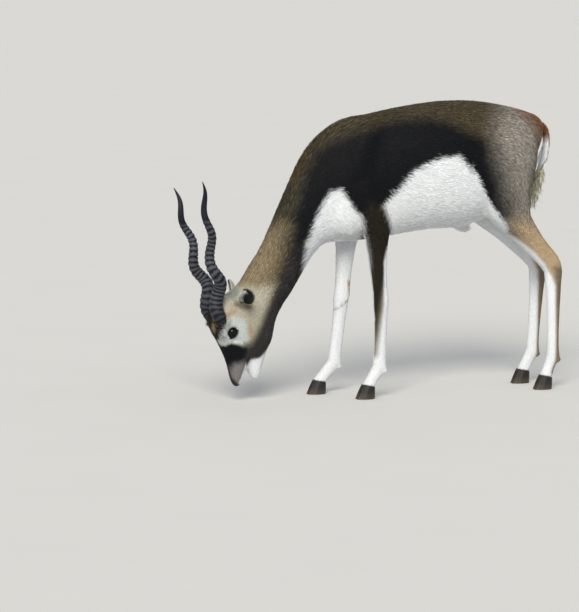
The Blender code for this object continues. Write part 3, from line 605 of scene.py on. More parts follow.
def add_node(tree, kind, inputs=None, **settings):
    """Adds one node with its settings, and sets or links its inputs."""
    node = tree.nodes.new(kind)
    for name, value in settings.items():
        setattr(node, name, value)
    for name, value in (inputs or {}).items():
        if isinstance(value, bpy.types.NodeSocket):
            tree.links.new(value, node.inputs[name])
        else:
            node.inputs[name].default_value = value
    return node


def new_material(name, **shader_values):
    """A Principled material, with plain values on its sockets. Returns it, its tree and its shader."""
    made = bpy.data.materials.new(name)
    made.use_nodes = True
    tree = made.node_tree
    shader = tree.nodes["Principled BSDF"]
    for socket, value in shader_values.items():
        shader.inputs[socket.replace("_", " ")].default_value = value
    return made, tree, shader


def opaque(colour):
    """A colour with full alpha."""
    return (*colour[:], 1.0)


def noise_grain(tree, vector, size, detail):
    """A noise texture whose spots are about this size, in metres."""
    return add_node(tree, "ShaderNodeTexNoise", {"Vector": vector, "Scale": 1 / size, "Detail": detail})


def mottled(tree, shader, colour, grain, darkest, lightest):
    """The base colour, darker and lighter with the grain."""
    shade = add_node(
        tree, "ShaderNodeMapRange",
        {
            "Value": grain.outputs["Fac"], "From Min": 0.3, "From Max": 0.7,
            "To Min": darkest, "To Max": lightest,
        },
    )
    shaded = add_node(
        tree, "ShaderNodeVectorMath", {0: colour, 1: shade.outputs["Result"]}, operation="MULTIPLY"
    )
    tree.links.new(shaded.outputs["Vector"], shader.inputs["Base Color"])


def raised(tree, shader, texture, distance, strength):
    """The surface, raised where the texture is light."""
    bump = add_node(
        tree, "ShaderNodeBump", {"Height": texture.outputs["Fac"], "Distance": distance, "Strength": strength}
    )
    tree.links.new(bump.outputs["Normal"], shader.inputs["Normal"])


def linked(name, data):
    """A new object with this data, in the scene."""
    obj = bpy.data.objects.new(name, data)
    bpy.context.scene.collection.objects.link(obj)
    return obj


def mesh_from(sheet, name):
    """The mesh of a bmesh, which is freed."""
    mesh = bpy.data.meshes.new(name)
    sheet.to_mesh(mesh)
    sheet.free()
    return mesh


def object_from(name, vertices, faces, material):
    """A smooth object from arrays of vertices and faces."""
    mesh = bpy.data.meshes.new(name)
    mesh.from_pydata(vertices, [], faces)
    mesh.shade_smooth()
    mesh.materials.append(material)
    return linked(name, mesh)


def ring_faces(a, b, count):
    """The faces between two rings of this many points, which start at a and b."""
    return [(a + i, a + (i + 1) % count, b + (i + 1) % count, b + i) for i in range(count)]


def dressed(obj, material):
    """Gives the object this material alone."""
    obj.data.materials.clear()
    obj.data.materials.append(material)


def moved(obj, places):
    """Moves the object's vertices to these places."""
    obj.data.vertices.foreach_set("co", places.astype(np.float32).ravel())
    obj.data.update()


def on_side(point, sign):
    """A point given on the right side, on the side of this sign."""
    return np.array((point[0], point[1] * sign + MIDDLE_Y, point[2]))


def placed(obj, slot, *nodes):
    """Lets the piece ride on the animal and hides the nodes that it stands for. Its slot is not used."""
    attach(obj, "root")
    if nodes:
        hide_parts(*nodes)
    return obj


def settled(obj):
    """Gives the object the mesh that its modifiers make, and removes them."""
    graph = bpy.context.evaluated_depsgraph_get()
    mesh = bpy.data.meshes.new_from_object(obj.evaluated_get(graph))
    obj.modifiers.clear()
    obj.data = mesh
    return obj


def cast(name, nodes, cell, passes):
    """One closed surface round these nodes, cast in small cells and smoothed."""
    sheet = bmesh.new()
    for node in nodes:
        sheet.from_mesh(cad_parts[node].data)
    obj = linked(name, mesh_from(sheet, name))
    remesh = obj.modifiers.new("cast", "REMESH")
    remesh.mode = "VOXEL"
    remesh.voxel_size = cell
    smooth = obj.modifiers.new("smooth", "SMOOTH")
    smooth.factor = 0.5
    smooth.iterations = passes
    return settled(obj)


def vectors(collection, attribute):
    """A mesh attribute of three numbers each, as rows of an array."""
    flat = np.empty(len(collection) * 3, np.float32)
    collection.foreach_get(attribute, flat)
    return flat.reshape(-1, 3).astype(float)


def smoothstep(value, start, end):
    """Rises softly from 0 at start to 1 at end."""
    share = np.clip((value - start) / (end - start), 0.0, 1.0)
    return share * share * (3 - 2 * share)


def unit(rows):
    """Rows of three numbers, each scaled to length 1."""
    return rows / np.maximum(np.linalg.norm(rows, axis=1, keepdims=True), 1e-9)


def wander(places, size):
    """A smooth random number at each place, mostly from -1 to 1, that changes over this distance."""
    return np.array([noise.noise(Vector(place)) for place in places / size]) * 1.6


def curve_value(t, a, b, c, d):
    """The Catmull-Rom curve through b and c at share t of the way."""
    return 0.5 * (
        2 * b + (c - a) * t + (2 * a - 5 * b + 4 * c - d) * t * t + (3 * b - a - 3 * c + d) * t ** 3
    )


def curved(rows, steps):
    """Rows of numbers, with more rows between them on a smooth curve."""
    found = []
    for i in range(len(rows) - 1):
        around = [rows[max(i - 1, 0)], rows[i], rows[i + 1], rows[min(i + 2, len(rows) - 1)]]
        for step in range(steps):
            found.append([curve_value(step / steps, *values) for values in zip(*around)])
    found.append(list(rows[-1]))
    return found


def depth_inside(x, z, outline):
    """How far inside a closed side-view outline each point lies, negative outside."""
    nearest = np.full(x.shape, np.inf)
    inside = np.zeros(x.shape, bool)
    for (ax, az), (bx, bz) in zip(outline, outline[1:] + outline[:1]):
        ex, ez = bx - ax, bz - az
        share = np.clip(((x - ax) * ex + (z - az) * ez) / (ex * ex + ez * ez), 0, 1)
        nearest = np.minimum(nearest, np.hypot(x - ax - share * ex, z - az - share * ez))
        if az != bz:
            inside ^= ((az > z) != (bz > z)) & (x < ax + (z - az) / (bz - az) * ex)
    return np.where(inside, nearest, -nearest)


def reach_of_faces(kind, places, normals):
    """How much of a marking shows at each place, where it keeps to one side or to some faces."""
    across = places[:, 1] - MIDDLE_Y
    outward = normals[:, 1] * np.sign(across)
    share = np.ones(len(places))
    for word in kind.split():
        if word == "outer":
            share *= smoothstep(outward, *OUTER_FACES)
        elif word == "inner":
            share *= smoothstep(-outward, *INNER_FACES)
        elif word == "rear":
            share *= smoothstep(-np.abs(across), *REAR_WIDTH) * smoothstep(normals[:, 0], *REAR_FACES)
        elif word in SIDES:
            share *= across * SIDES[word] > 0
    return share


def hair_pair(name):
    """The root and tip colours of one kind of hair."""
    coat = bpy.context.scene.blackbuck_coat
    return np.array(getattr(coat, name)[:]), np.array(getattr(coat, name + "_tips")[:])


def hair_colours(places, normals):
    """The colour of the hair at its root and at its tip, at each place."""
    shades = np.stack([np.tile(colour, (len(places), 1)) for colour in hair_pair("black")])
    for hair, softness, faces, outline in MARKINGS.values():
        outline = [(x / 1000, z / 1000) for x, z in outline]
        inside = depth_inside(places[:, 0], places[:, 2], outline)
        share = smoothstep(inside, -softness / 1000, softness / 1000)
        share = (share * reach_of_faces(faces, places, normals))[:, None]
        for shade, colour in zip(shades, hair_pair(hair.replace(" ", "_"))):
            shade += (colour - shade) * share
    return shades


def coat_lie(places):
    """The way the coat lies at each place, its length and how far it stands out, read between the guides."""
    side = np.where(places[:, 1] < MIDDLE_Y, -1.0, 1.0)
    here = np.column_stack([places[:, 0], np.abs(places[:, 1] - MIDDLE_Y), places[:, 2]])
    total = np.zeros(len(places))
    lie = np.zeros((len(places), 3))
    length = np.zeros(len(places))
    lift = np.zeros(len(places))
    for place, way, millimetres, degrees in GUIDES:
        away = np.square(here - np.array(place) / 1000).sum(1)
        weight = 1 / np.square(away + GUIDE_REACH ** 2)
        total += weight
        lie += weight[:, None] * np.array(way)
        length += weight * millimetres
        lift += weight * degrees
    lie[:, 1] *= side
    return unit(lie), length / total * 0.001, lift / total


def triangles_of(mesh, places):
    """The mesh's triangles, from its vertices' places: rows of vertex numbers, corners and areas."""
    mesh.calc_loop_triangles()
    flat = np.empty(len(mesh.loop_triangles) * 3, np.int32)
    mesh.loop_triangles.foreach_get("vertices", flat)
    triangles = flat.reshape(-1, 3)
    corners = places[triangles]
    sides = np.cross(corners[:, 1] - corners[:, 0], corners[:, 2] - corners[:, 0])
    return triangles, corners, np.linalg.norm(sides, axis=1) / 2


def evenly_picked(weights, count):
    """The numbers of this many rows, picked evenly by their weights."""
    total = np.cumsum(weights)
    return np.searchsorted(total, (np.arange(count) + 0.5) / count * total[-1])


def vertex_normals(mesh):
    """The mesh's smooth normals, one for each vertex."""
    return vectors(mesh.vertex_normals, "vector")


def paint(mesh, name, colours):
    """Stores a colour on each vertex."""
    layer = mesh.color_attributes.new(name, "FLOAT_COLOR", "POINT")
    rows = np.column_stack([colours, np.ones(len(colours))])
    layer.data.foreach_set("color", rows.astype(np.float32).ravel())


def eye_frame(side):
    """The middle and radius of an eyeball, and its long, short and outward axes."""
    low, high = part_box("eye_" + side)
    centre = (Vector(low) + Vector(high)) / 2
    radius = (high[2] - low[2]) / 2
    sign = SIDES[side]
    look = Vector((EYE_LOOK[0], EYE_LOOK[1] * sign, EYE_LOOK[2])).normalized()
    long_axis = Vector(EYE_LONG_AXIS)
    long_axis = (long_axis - look * long_axis.dot(look)).normalized()
    return centre, radius, long_axis, look.cross(long_axis), look


def pressed(places, normals, from_point, to_point, reach, depth):
    """Presses a soft groove between two points into both sides of the hide."""
    for sign in SIDES.values():
        start = on_side(from_point, sign)
        along = on_side(to_point, sign) - start
        share = np.clip((places - start) @ along / (along @ along), 0, 1)
        away = np.linalg.norm(places - start - share[:, None] * along, axis=1)
        places -= normals * (depth * np.exp(-np.square(away / reach)))[:, None]
    return places


def hide_material():
    """Hide under short hair: the same colours as the coat, broken up finely as hair shows between tufts."""
    made, tree, shader = new_material("hide_under_hair", Roughness=0.75, Specular_IOR_Level=0.15)
    colour = add_node(tree, "ShaderNodeAttribute", attribute_name="hair")
    place = add_node(tree, "ShaderNodeTexCoord")
    # Hair strands are about 0.1 mm thick; drawn up to twenty times as coarse, so that they show
    strands = noise_grain(tree, place.outputs["Object"], 0.0020, 3.0)
    mottled(tree, shader, colour.outputs["Color"], strands, 0.7, 1.15)
    raised(tree, shader, strands, 0.0006, 0.5)
    return made


def hair_material():
    """Hair keratin: satin, with a soft sheen at grazing angles."""
    made, tree, shader = new_material(
        "hair_keratin", Roughness=0.55, Specular_IOR_Level=0.12, Sheen_Weight=0.01, Sheen_Roughness=0.5
    )
    colour = add_node(tree, "ShaderNodeAttribute", attribute_name="hair")
    tree.links.new(colour.outputs["Color"], shader.inputs["Base Color"])
    return made


class BLACKBUCK_OT_hide(bpy.types.Operator):
    """Casts one hide over torso, neck, head and legs, under the coat"""

    bl_idname = "blackbuck.hide"
    bl_label = "Hide"

    def execute(self, context):
        sizes = context.scene.blackbuck_hide
        hide = cast("hide", FLESH + EYEBALLS, sizes.cell, 8)
        self.soften_trunk(hide)
        thin = hide.modifiers.new("thin", "DECIMATE")
        thin.ratio = sizes.kept
        settled(hide)
        self.keep_largest(hide.data)
        places = vectors(hide.data.vertices, "co")
        normals = vertex_normals(hide.data)
        for fold in FOLDS.values():
            places = pressed(places, normals, *fold)
        length = coat_lie(places)[1]
        deep = np.interp(length, HAIR_LENGTHS, (*HIDE_DEPTHS, sizes.coat_depth))
        places -= normals * deep[:, None]
        places = self.with_eye_openings(places)
        moved(hide, places)
        roots, tips = hair_colours(places, vertex_normals(hide.data))
        paint(hide.data, "hair", roots + (tips - roots) * HIDE_PALENESS)
        hide.data.shade_smooth()
        dressed(hide, hide_material())
        placed(hide, "coat_brown", *FLESH)
        return {"FINISHED"}

    @staticmethod
    def soften_trunk(hide):
        """Smooths trunk and neck more than head and legs."""
        places = vectors(hide.data.vertices, "co")
        trunk = smoothstep(places[:, 2], *TRUNK_HEIGHTS) * smoothstep(places[:, 0], *TRUNK_BACK)
        group = hide.vertex_groups.new(name="trunk")
        for step in range(1, 6):
            chosen = np.nonzero(np.round(trunk * 5) == step)[0]
            group.add(chosen.tolist(), step / 5, "REPLACE")
        smooth = hide.modifiers.new("soften", "SMOOTH")
        smooth.factor = 0.5
        smooth.iterations = TRUNK_PASSES
        smooth.vertex_group = "trunk"
        settled(hide)
        hide.vertex_groups.clear()

    @staticmethod
    def keep_largest(mesh):
        """Drops closed scraps, such as sealed hollows, and leaves triangles."""
        sheet = bmesh.new()
        sheet.from_mesh(mesh)
        bmesh.ops.triangulate(sheet, faces=sheet.faces)
        left, shells = set(sheet.verts), []
        while left:
            shell, reached = set(), [left.pop()]
            while reached:
                vertex = reached.pop()
                shell.add(vertex)
                for link in vertex.link_edges:
                    other = link.other_vert(vertex)
                    if other in left:
                        left.discard(other)
                        reached.append(other)
            shells.append(shell)
        keep = max(shells, key=len)
        bmesh.ops.delete(sheet, geom=[v for v in sheet.verts if v not in keep], context="VERTS")
        sheet.to_mesh(mesh)
        sheet.free()

    @staticmethod
    def with_eye_openings(places):
        """Sinks the hide behind the eyeball inside the lids' almond."""
        for side in SIDES:
            centre, radius = eye_frame(side)[:2]
            from_eye = places - np.array(centre)
            chosen = in_eye_opening(places, side) & (np.linalg.norm(from_eye, axis=1) < 2 * radius)
            places[chosen] = np.array(centre) + unit(from_eye[chosen]) * (radius - SOCKET_GAP)
        return places


def spread(mesh, layers, width_share, length_scale, chance):
    """Roots spread over the mesh: places, normals, and the coat's lie, length and lift there."""
    triangles, corners, area = triangles_of(mesh, vectors(mesh.vertices, "co"))
    length = coat_lie(corners.mean(1))[1] * length_scale
    wanted = area * layers / (length * (length * width_share + TUFT_LEAST_WIDTH))
    total = np.cumsum(wanted)
    picks = np.searchsorted(total, np.arange(0.5, total[-1]))
    first, second = chance.random(len(picks)), chance.random(len(picks))
    flip = first + second > 1
    first[flip], second[flip] = 1 - first[flip], 1 - second[flip]
    shares = np.column_stack([1 - first - second, first, second])[:, :, None]
    roots = (corners[picks] * shares).sum(1)
    upward = unit((vertex_normals(mesh)[triangles[picks]] * shares).sum(1))
    lie, length, lift = coat_lie(roots)
    return roots, upward, lie, length * length_scale, lift


def tufts(name, roots, upward, lie, lengths, lifts, colours, patches, material, width_share, chance, bends):
    """One object of many tufts: flat three-sided spikes with their roots sunk in the hide."""
    count = len(roots)
    swirl = np.column_stack([wander(roots + shift, CLUMP) for shift in (1.0, 2.0, 3.0)])
    lie = lie + chance.normal(0, TUFT_TURN, (count, 3)) + swirl * CLUMP_TURN
    lie = unit(lie - upward * (lie * upward).sum(1)[:, None])
    across = np.cross(upward, lie)
    lengths = lengths * chance.uniform(*TUFT_LENGTHS, count)
    half = (lengths * width_share + TUFT_LEAST_WIDTH) / 2 * chance.uniform(*TUFT_WIDTHS, count)
    rise = np.radians(lifts * chance.uniform(*TUFT_LIFTS, count))
    thick = half * TUFT_THICKNESS
    rings = []
    for step in range(bends):
        share = step / bends
        angle = rise * (1 - TUFT_FALL * share)
        way = lie * np.cos(angle)[:, None] + upward * np.sin(angle)[:, None]
        middle = roots + way * (lengths * share)[:, None]
        if step == 0:
            middle = middle - upward * (thick + TUFT_SINK)[:, None]
        wide = half * (TUFT_ROOT if step == 0 else 1.0 - TUFT_FALL * share)
        rings.append(np.stack([
            middle - across * wide[:, None],
            middle + upward * thick[:, None],
            middle + across * wide[:, None],
        ], 1))
    angle = rise * TUFT_TIP_RISE
    tip = roots + (lie * np.cos(angle)[:, None] + upward * np.sin(angle)[:, None]) * lengths[:, None]
    points = np.concatenate([*rings, tip[:, None]], 1)
    # The underside has its own points, so that it is shaded as an underside
    top = bends * 3 + 1
    below = [step * 3 + side for step in range(bends) for side in (0, 2)] + [bends * 3]
    points = np.concatenate([points, points[:, below]], 1)
    size = points.shape[1]
    faces = []
    for step in range(bends):
        last = step == bends - 1
        for side in range(2):
            a, b = step * 3 + side, step * 3 + side + 1
            faces += [(b, a, bends * 3)] if last else [(b, a, b + 3), (b + 3, a, a + 3)]
        a, b = top + step * 2 + 1, top + step * 2
        faces += [(b, a, size - 1)] if last else [(b, a, b + 2), (b + 2, a, a + 2)]
    faces = np.array(faces)
    mesh = bpy.data.meshes.new(name)
    every = (faces[None] + (np.arange(count) * size)[:, None, None]).reshape(-1, 3)
    mesh.vertices.add(count * size)
    mesh.vertices.foreach_set("co", points.reshape(-1, 3).astype(np.float32).ravel())
    mesh.loops.add(len(every) * 3)
    mesh.loops.foreach_set("vertex_index", every.astype(np.int32).ravel())
    mesh.polygons.add(len(every))
    mesh.polygons.foreach_set("loop_start", np.arange(0, len(every) * 3, 3, dtype=np.int32))
    mesh.update(calc_edges=True)
    mesh.shade_smooth()
    lean = np.array([-TUFT_LEAN, 0.0, TUFT_LEAN] * bends + [0.0])
    shading = np.concatenate([
        upward[:, None] + across[:, None] * lean[None, :, None],
        -np.repeat(upward[:, None], len(below), axis=1),
    ], 1)
    layer = mesh.attributes.new("custom_normal", "FLOAT_VECTOR", "CORNER")
    layer.data.foreach_set("vector", unit(shading.reshape(-1, 3))[every.ravel()].astype(np.float32).ravel())
    root_colour, tip_colour = colours
    rungs = np.array([step / bends for step in range(bends) for side in range(3)] + [1.0])
    ladder = np.concatenate([rungs, rungs[below]])[None, :, None]
    spread_out = TONE_SPREAD * (1 - 0.75 * tip_colour.mean(1))
    tone = 1 + chance.uniform(-1, 1, count) * spread_out
    tone = (tone * (1 + CLUMP_TONE * spread_out / TONE_SPREAD * wander(roots, CLUMP / 2)))[:, None, None]
    start = TIP_SHARE_AT_ROOT[bends]
    reach = chance.uniform(PALENESS[0] - start, PALENESS[1], (count, 1, 1))
    blend = np.clip(start + ladder * reach, 0, 1)
    shade = (root_colour[:, None] * (1 - blend) + tip_colour[:, None] * blend) * tone
    paint(mesh, "hair", np.clip(shade, 0, BRIGHTEST).reshape(-1, 3))
    layer = mesh.uv_layers.new(name="OFBake")
    fan = [((side - 1) / 2, step / bends) for step in range(bends) for side in range(3)] + [(0.0, 1.0)]
    fan = np.array(fan + [fan[number] for number in below]) * BAKE_PATCH
    spots = (patches[:, None] + fan[None]).reshape(-1, 2)[every.ravel()]
    layer.data.foreach_set("uv", spots.astype(np.float32).ravel())
    mesh.materials.append(material)
    return linked(name, mesh)


def rolled_out(places, start, end):
    """Each place on a sheet rolled round an axis: the turn round it and the share along it."""
    start, end = np.array(start), np.array(end)
    along = (end - start) / np.linalg.norm(end - start)
    side = np.array((0.0, 1.0, 0.0))
    front = np.cross(side, along)
    away = places - start
    height = away @ along
    turn = np.arctan2(away @ side, away @ front) / math.tau + 0.5
    height = (height - height.min()) / (height.max() - height.min())
    margin = 2 * BAKE_PATCH
    return np.column_stack([turn, height]) * (1 - 2 * margin) + margin


def coat_piece_of(places):
    """The coat piece that each root belongs to, as a number."""
    x, y, z = places.T
    left = y < MIDDLE_Y
    neck = (x < NECK_END) | ((x < WITHERS[0]) & (z > WITHERS[1]))
    foreleg = (x > FORELEGS[0]) & (x < FORELEGS[1]) & ((z < LEG_TOPS[1]) & ~neck | (z < LEG_TOPS[0]))
    hind_leg = (x > HIND_LEGS_START) & (z < LEG_TOPS[2])
    names = list(COAT_PIECES)
    piece = np.full(len(places), names.index("coat_shoulders"))
    # Later rows win over earlier ones
    for name, own in (
        ("coat_loins", x >= SHOULDERS_END),
        ("coat_haunches", x > LOINS_END),
        ("coat_neck", neck),
        ("coat_head", (z < HEAD_TOP) & (x < HEAD_END) & (x + z < HEAD_SLANT)),
        ("coat_foreleg_left", foreleg & left),
        ("coat_foreleg_right", foreleg & ~left),
        ("coat_hindleg_left", hind_leg & left),
        ("coat_hindleg_right", hind_leg & ~left),
    ):
        piece[own] = names.index(name)
    return piece


def in_eye_opening(places, side, wider=0.0):
    """True at the places inside the lids' almond, made wider by this much."""
    centre, radius, long_axis, short_axis, look = eye_frame(side)
    from_eye = places - np.array(centre)
    across = np.hypot(
        from_eye @ np.array(long_axis) / (EYE_OPENING[1] + wider),
        from_eye @ np.array(short_axis) / (EYE_OPENING[0] + wider),
    )
    return (across < 1.0) & (from_eye @ np.array(look) > 0)


def clear_of_bare_places(places):
    """True where hair may grow: off the eyes and the horns' bases."""
    free = np.ones(len(places), bool)
    for side in SIDES:
        free &= ~in_eye_opening(places, side, LID_BARE)
        free &= np.linalg.norm(places - np.array(horn_path(side, 0.0)[0]), axis=1) > HORN_BARE_REACH
    return free


def against_the_horns(roots, lie, lengths, lifts):
    """Turns the hair round the horns' feet up against them, longer and steeper."""
    for side in SIDES:
        foot, radius = horn_path(side, 0.0)
        along = horn_axes(side, 0.02)[0]
        away = roots - np.array(foot)
        away -= np.outer(away @ np.array(along), along)
        near = smoothstep(-np.linalg.norm(away, axis=1), -COLLAR_REACH, -HORN_BARE_REACH)
        near *= np.linalg.norm(roots - np.array(foot), axis=1) < 2 * COLLAR_REACH
        lie = lie + (np.array(along) - lie) * near[:, None]
        lengths = lengths + COLLAR_LENGTH * near
        lifts = lifts + COLLAR_LIFT * near
    return lie, lengths, lifts


class BLACKBUCK_OT_coat(bpy.types.Operator):
    """Lays the coat's tufts over the hide"""

    bl_idname = "blackbuck.coat"
    bl_label = "Coat"

    def execute(self, context):
        coat = context.scene.blackbuck_coat
        hide = bpy.data.objects["hide"]
        chance = np.random.default_rng(coat.seed)
        layers = coat.layers * 1.0
        roots, upward, lie, lengths, lifts = spread(hide.data, layers, coat.width, coat.length, chance)
        free = clear_of_bare_places(roots)
        roots, upward, lie, lengths, lifts = (rows[free] for rows in (roots, upward, lie, lengths, lifts))
        lie, lengths, lifts = against_the_horns(roots, lie, lengths, lifts)
        ragged = roots + chance.normal(0, FRAYED, roots.shape) * lengths[:, None]
        root_colour, tip_colour = hair_colours(ragged, upward)
        piece = coat_piece_of(roots)
        material = hair_material()
        for number, (name, (start, end)) in enumerate(COAT_PIECES.items()):
            own = piece == number
            bends = 2 if lengths[own].mean() > LONG_HAIR else 1
            obj = tufts(
                name, roots[own], upward[own], lie[own], lengths[own], lifts[own],
                (root_colour[own], tip_colour[own]), rolled_out(roots[own], start, end),
                material, coat.width, chance, bends,
            )
            placed(obj, "coat_brown")
        return {"FINISHED"}


HORN_CURVE = curved(HORN_ROWS, 8)


def horn_path(side, share):
    """The middle of a horn at this share of its height, and the horn's radius there."""
    sign = SIDES[side]
    base = Vector((HORN_BASE[0], -HORN_BASE[1], HORN_BASE[2]))
    lean = Vector((HORN_LEAN[side][0], -HORN_LEAN[side][1], HORN_LEAN[side][2]))
    axis = lean.normalized()
    outward = (Vector((0, -1, 0)) + axis * axis.y).normalized()
    forward = outward.cross(axis)
    if forward.x > 0:
        forward.negate()
    shares, coils, radii = zip(*HORN_CURVE)
    coil = float(np.interp(share, shares, coils))
    radius = float(np.interp(share, shares, radii))
    turn = math.radians(HORN_PHASE) - math.tau * (HORN_TURNS * share + HORN_TIGHTENING * share * share)
    centre = base + lean * share + coil * (forward * math.cos(turn) + outward * math.sin(turn))
    return Vector((centre.x, -centre.y * sign + MIDDLE_Y, centre.z)), radius


def horn_axes(side, share):
    """The way a horn runs at this share of its height, and two directions across it."""
    along = (horn_path(side, share + 0.005)[0] - horn_path(side, share - 0.005)[0]).normalized()
    across = along.cross(Vector((0, 1, 0))).normalized()
    return along, across, along.cross(across)


def horn_material():
    """Horn keratin: fibres along the horn, pale on the rings' crests with painted highlight, and dark in the
    grooves.
    """
    made, tree, shader = new_material("horn_keratin", Roughness=0.5, Specular_IOR_Level=0.20)
    colour = add_node(tree, "ShaderNodeAttribute", attribute_name="keratin")
    place = add_node(tree, "ShaderNodeTexCoord")
    # Fibres about 1.6 mm apart, coarser than real ones so that they show, and long up the horn
    stretched = add_node(
        tree, "ShaderNodeMapping", {"Vector": place.outputs["Object"], "Scale": (1.0, 1.0, 0.22)}
    )
    fibres = noise_grain(tree, stretched.outputs["Vector"], 0.0016, 4.0)
    mottled(tree, shader, colour.outputs["Color"], fibres, 0.65, 1.25)
    raised(tree, shader, fibres, 0.0004, 0.6)
    return made


class BLACKBUCK_OT_horns(bpy.types.Operator):
    """Coils the two ringed horns"""

    bl_idname = "blackbuck.horns"
    bl_label = "Horns"

    def execute(self, context):
        material = horn_material()
        for side in SIDES:
            points, faces, colours = self.coiled(side, context.scene.blackbuck_horns)
            horn = object_from("ringed_horn_" + side, points, faces, material)
            paint(horn.data, "keratin", np.array(colours))
            placed(horn, "horn", "horn_" + side)
        return {"FINISHED"}

    @staticmethod
    def coiled(side, look):
        """Rings of points up the horn, with a raised crest in each ring, and their colours, with painted
        highlight on the crests.
        """
        first, last = RINGED_SHARE
        chance = np.random.default_rng(HORN_SEEDS[side])
        steps = HORN_RINGS * STEPS_PER_RING
        shares = [HORN_CURVE[0][0] * (1 - i / ROOT_STEPS) for i in range(ROOT_STEPS)]
        shares += [first + (last - first) * i / steps for i in range(steps)]
        shares += [last + (1 - last) * i / TIP_STEPS for i in range(TIP_STEPS + 1)]
        strength = chance.uniform(*RING_STRENGTHS, HORN_RINGS + 1)
        points, colours = [], []
        crest_highlight, groove, tip = (np.array(c[:]) for c in (look.crest_highlight, look.groove, look.tip))
        for share in shares:
            centre, radius = horn_path(side, share)
            along, across, beside = horn_axes(side, share)
            ringed = first <= share < last
            place = (share - first) / (last - first) * HORN_RINGS
            for i in range(HORN_SIDES):
                turn = math.tau * i / HORN_SIDES
                sway = sum(size * math.sin(turn * waves + int(place) * by) for size, waves, by in RING_SWAY)
                phase = (place + sway) % 1.0
                fade = min(1.0, (last - share) / RING_FADE[0] + RING_FADE[1]) if ringed else 0.0
                swell = math.sin(math.pi * phase) ** RING_POWER - RING_LEVEL if ringed else 0.0
                depth = look.ring_depth * fade * strength[max(int(place), 0) if ringed else 0]
                flute = FLUTE_DEPTH * math.cos(turn * HORN_FLUTES) * (1 - share)
                reach = radius + depth * swell + flute
                points.append(centre + (across * math.cos(turn) + beside * math.sin(turn)) * reach)
                # Painted highlight on the crests, weaker at the horn's foot and fading with the rings
                highlight_share = FOOT_HIGHLIGHT_SHARE + (1 - FOOT_HIGHLIGHT_SHARE) * min(1.0, max(0.0, share / FOOT_SHARE))
                pale = max(0.0, swell + CREST_LEVEL) ** CREST_POWER * CREST_FACTOR * fade * highlight_share
                towards_tip = min(1.0, max(0.0, (share - last + TIP_FADE[0]) / TIP_FADE[1]))
                plain = groove * BETWEEN_CRESTS
                plain = plain + (tip - plain) * towards_tip
                colours.append(plain + (crest_highlight - plain) * min(1.0, pale))
        faces = []
        for row in range(len(shares) - 1):
            faces += ring_faces(row * HORN_SIDES, (row + 1) * HORN_SIDES, HORN_SIDES)
        faces.append(tuple(range(HORN_SIDES))[::-1])
        faces.append(tuple((len(shares) - 1) * HORN_SIDES + i for i in range(HORN_SIDES)))
        return points, faces, colours


def eye_material(name, side):
    """A wet eyeball: a nearly black iris, darker still at its rim, under a clear glossy coat."""
    centre, radius, long_axis, short_axis, look = eye_frame(side)
    made, tree, shader = new_material(
        name, Roughness=0.12, Specular_IOR_Level=0.1, Coat_Weight=0.35, Coat_Roughness=0.02, IOR=1.38
    )
    place = add_node(tree, "ShaderNodeTexCoord")
    front = tuple(centre + look * radius)
    from_front = add_node(
        tree, "ShaderNodeVectorMath", {0: place.outputs["Object"], 1: front}, operation="SUBTRACT"
    )
    away = add_node(tree, "ShaderNodeVectorMath", {0: from_front.outputs["Vector"]}, operation="LENGTH")
    rim = add_node(
        tree, "ShaderNodeMapRange",
        {"Value": away.outputs["Value"], "From Min": IRIS_EDGE[0], "From Max": IRIS_EDGE[1]},
    )
    colours = bpy.context.scene.blackbuck_eyes
    ring = add_node(
        tree, "ShaderNodeMix",
        {"Factor": rim.outputs["Result"], "A": opaque(colours.iris), "B": opaque(colours.rim)},
        data_type="RGBA",
    )
    tree.links.new(ring.outputs["Result"], shader.inputs["Base Color"])
    return made


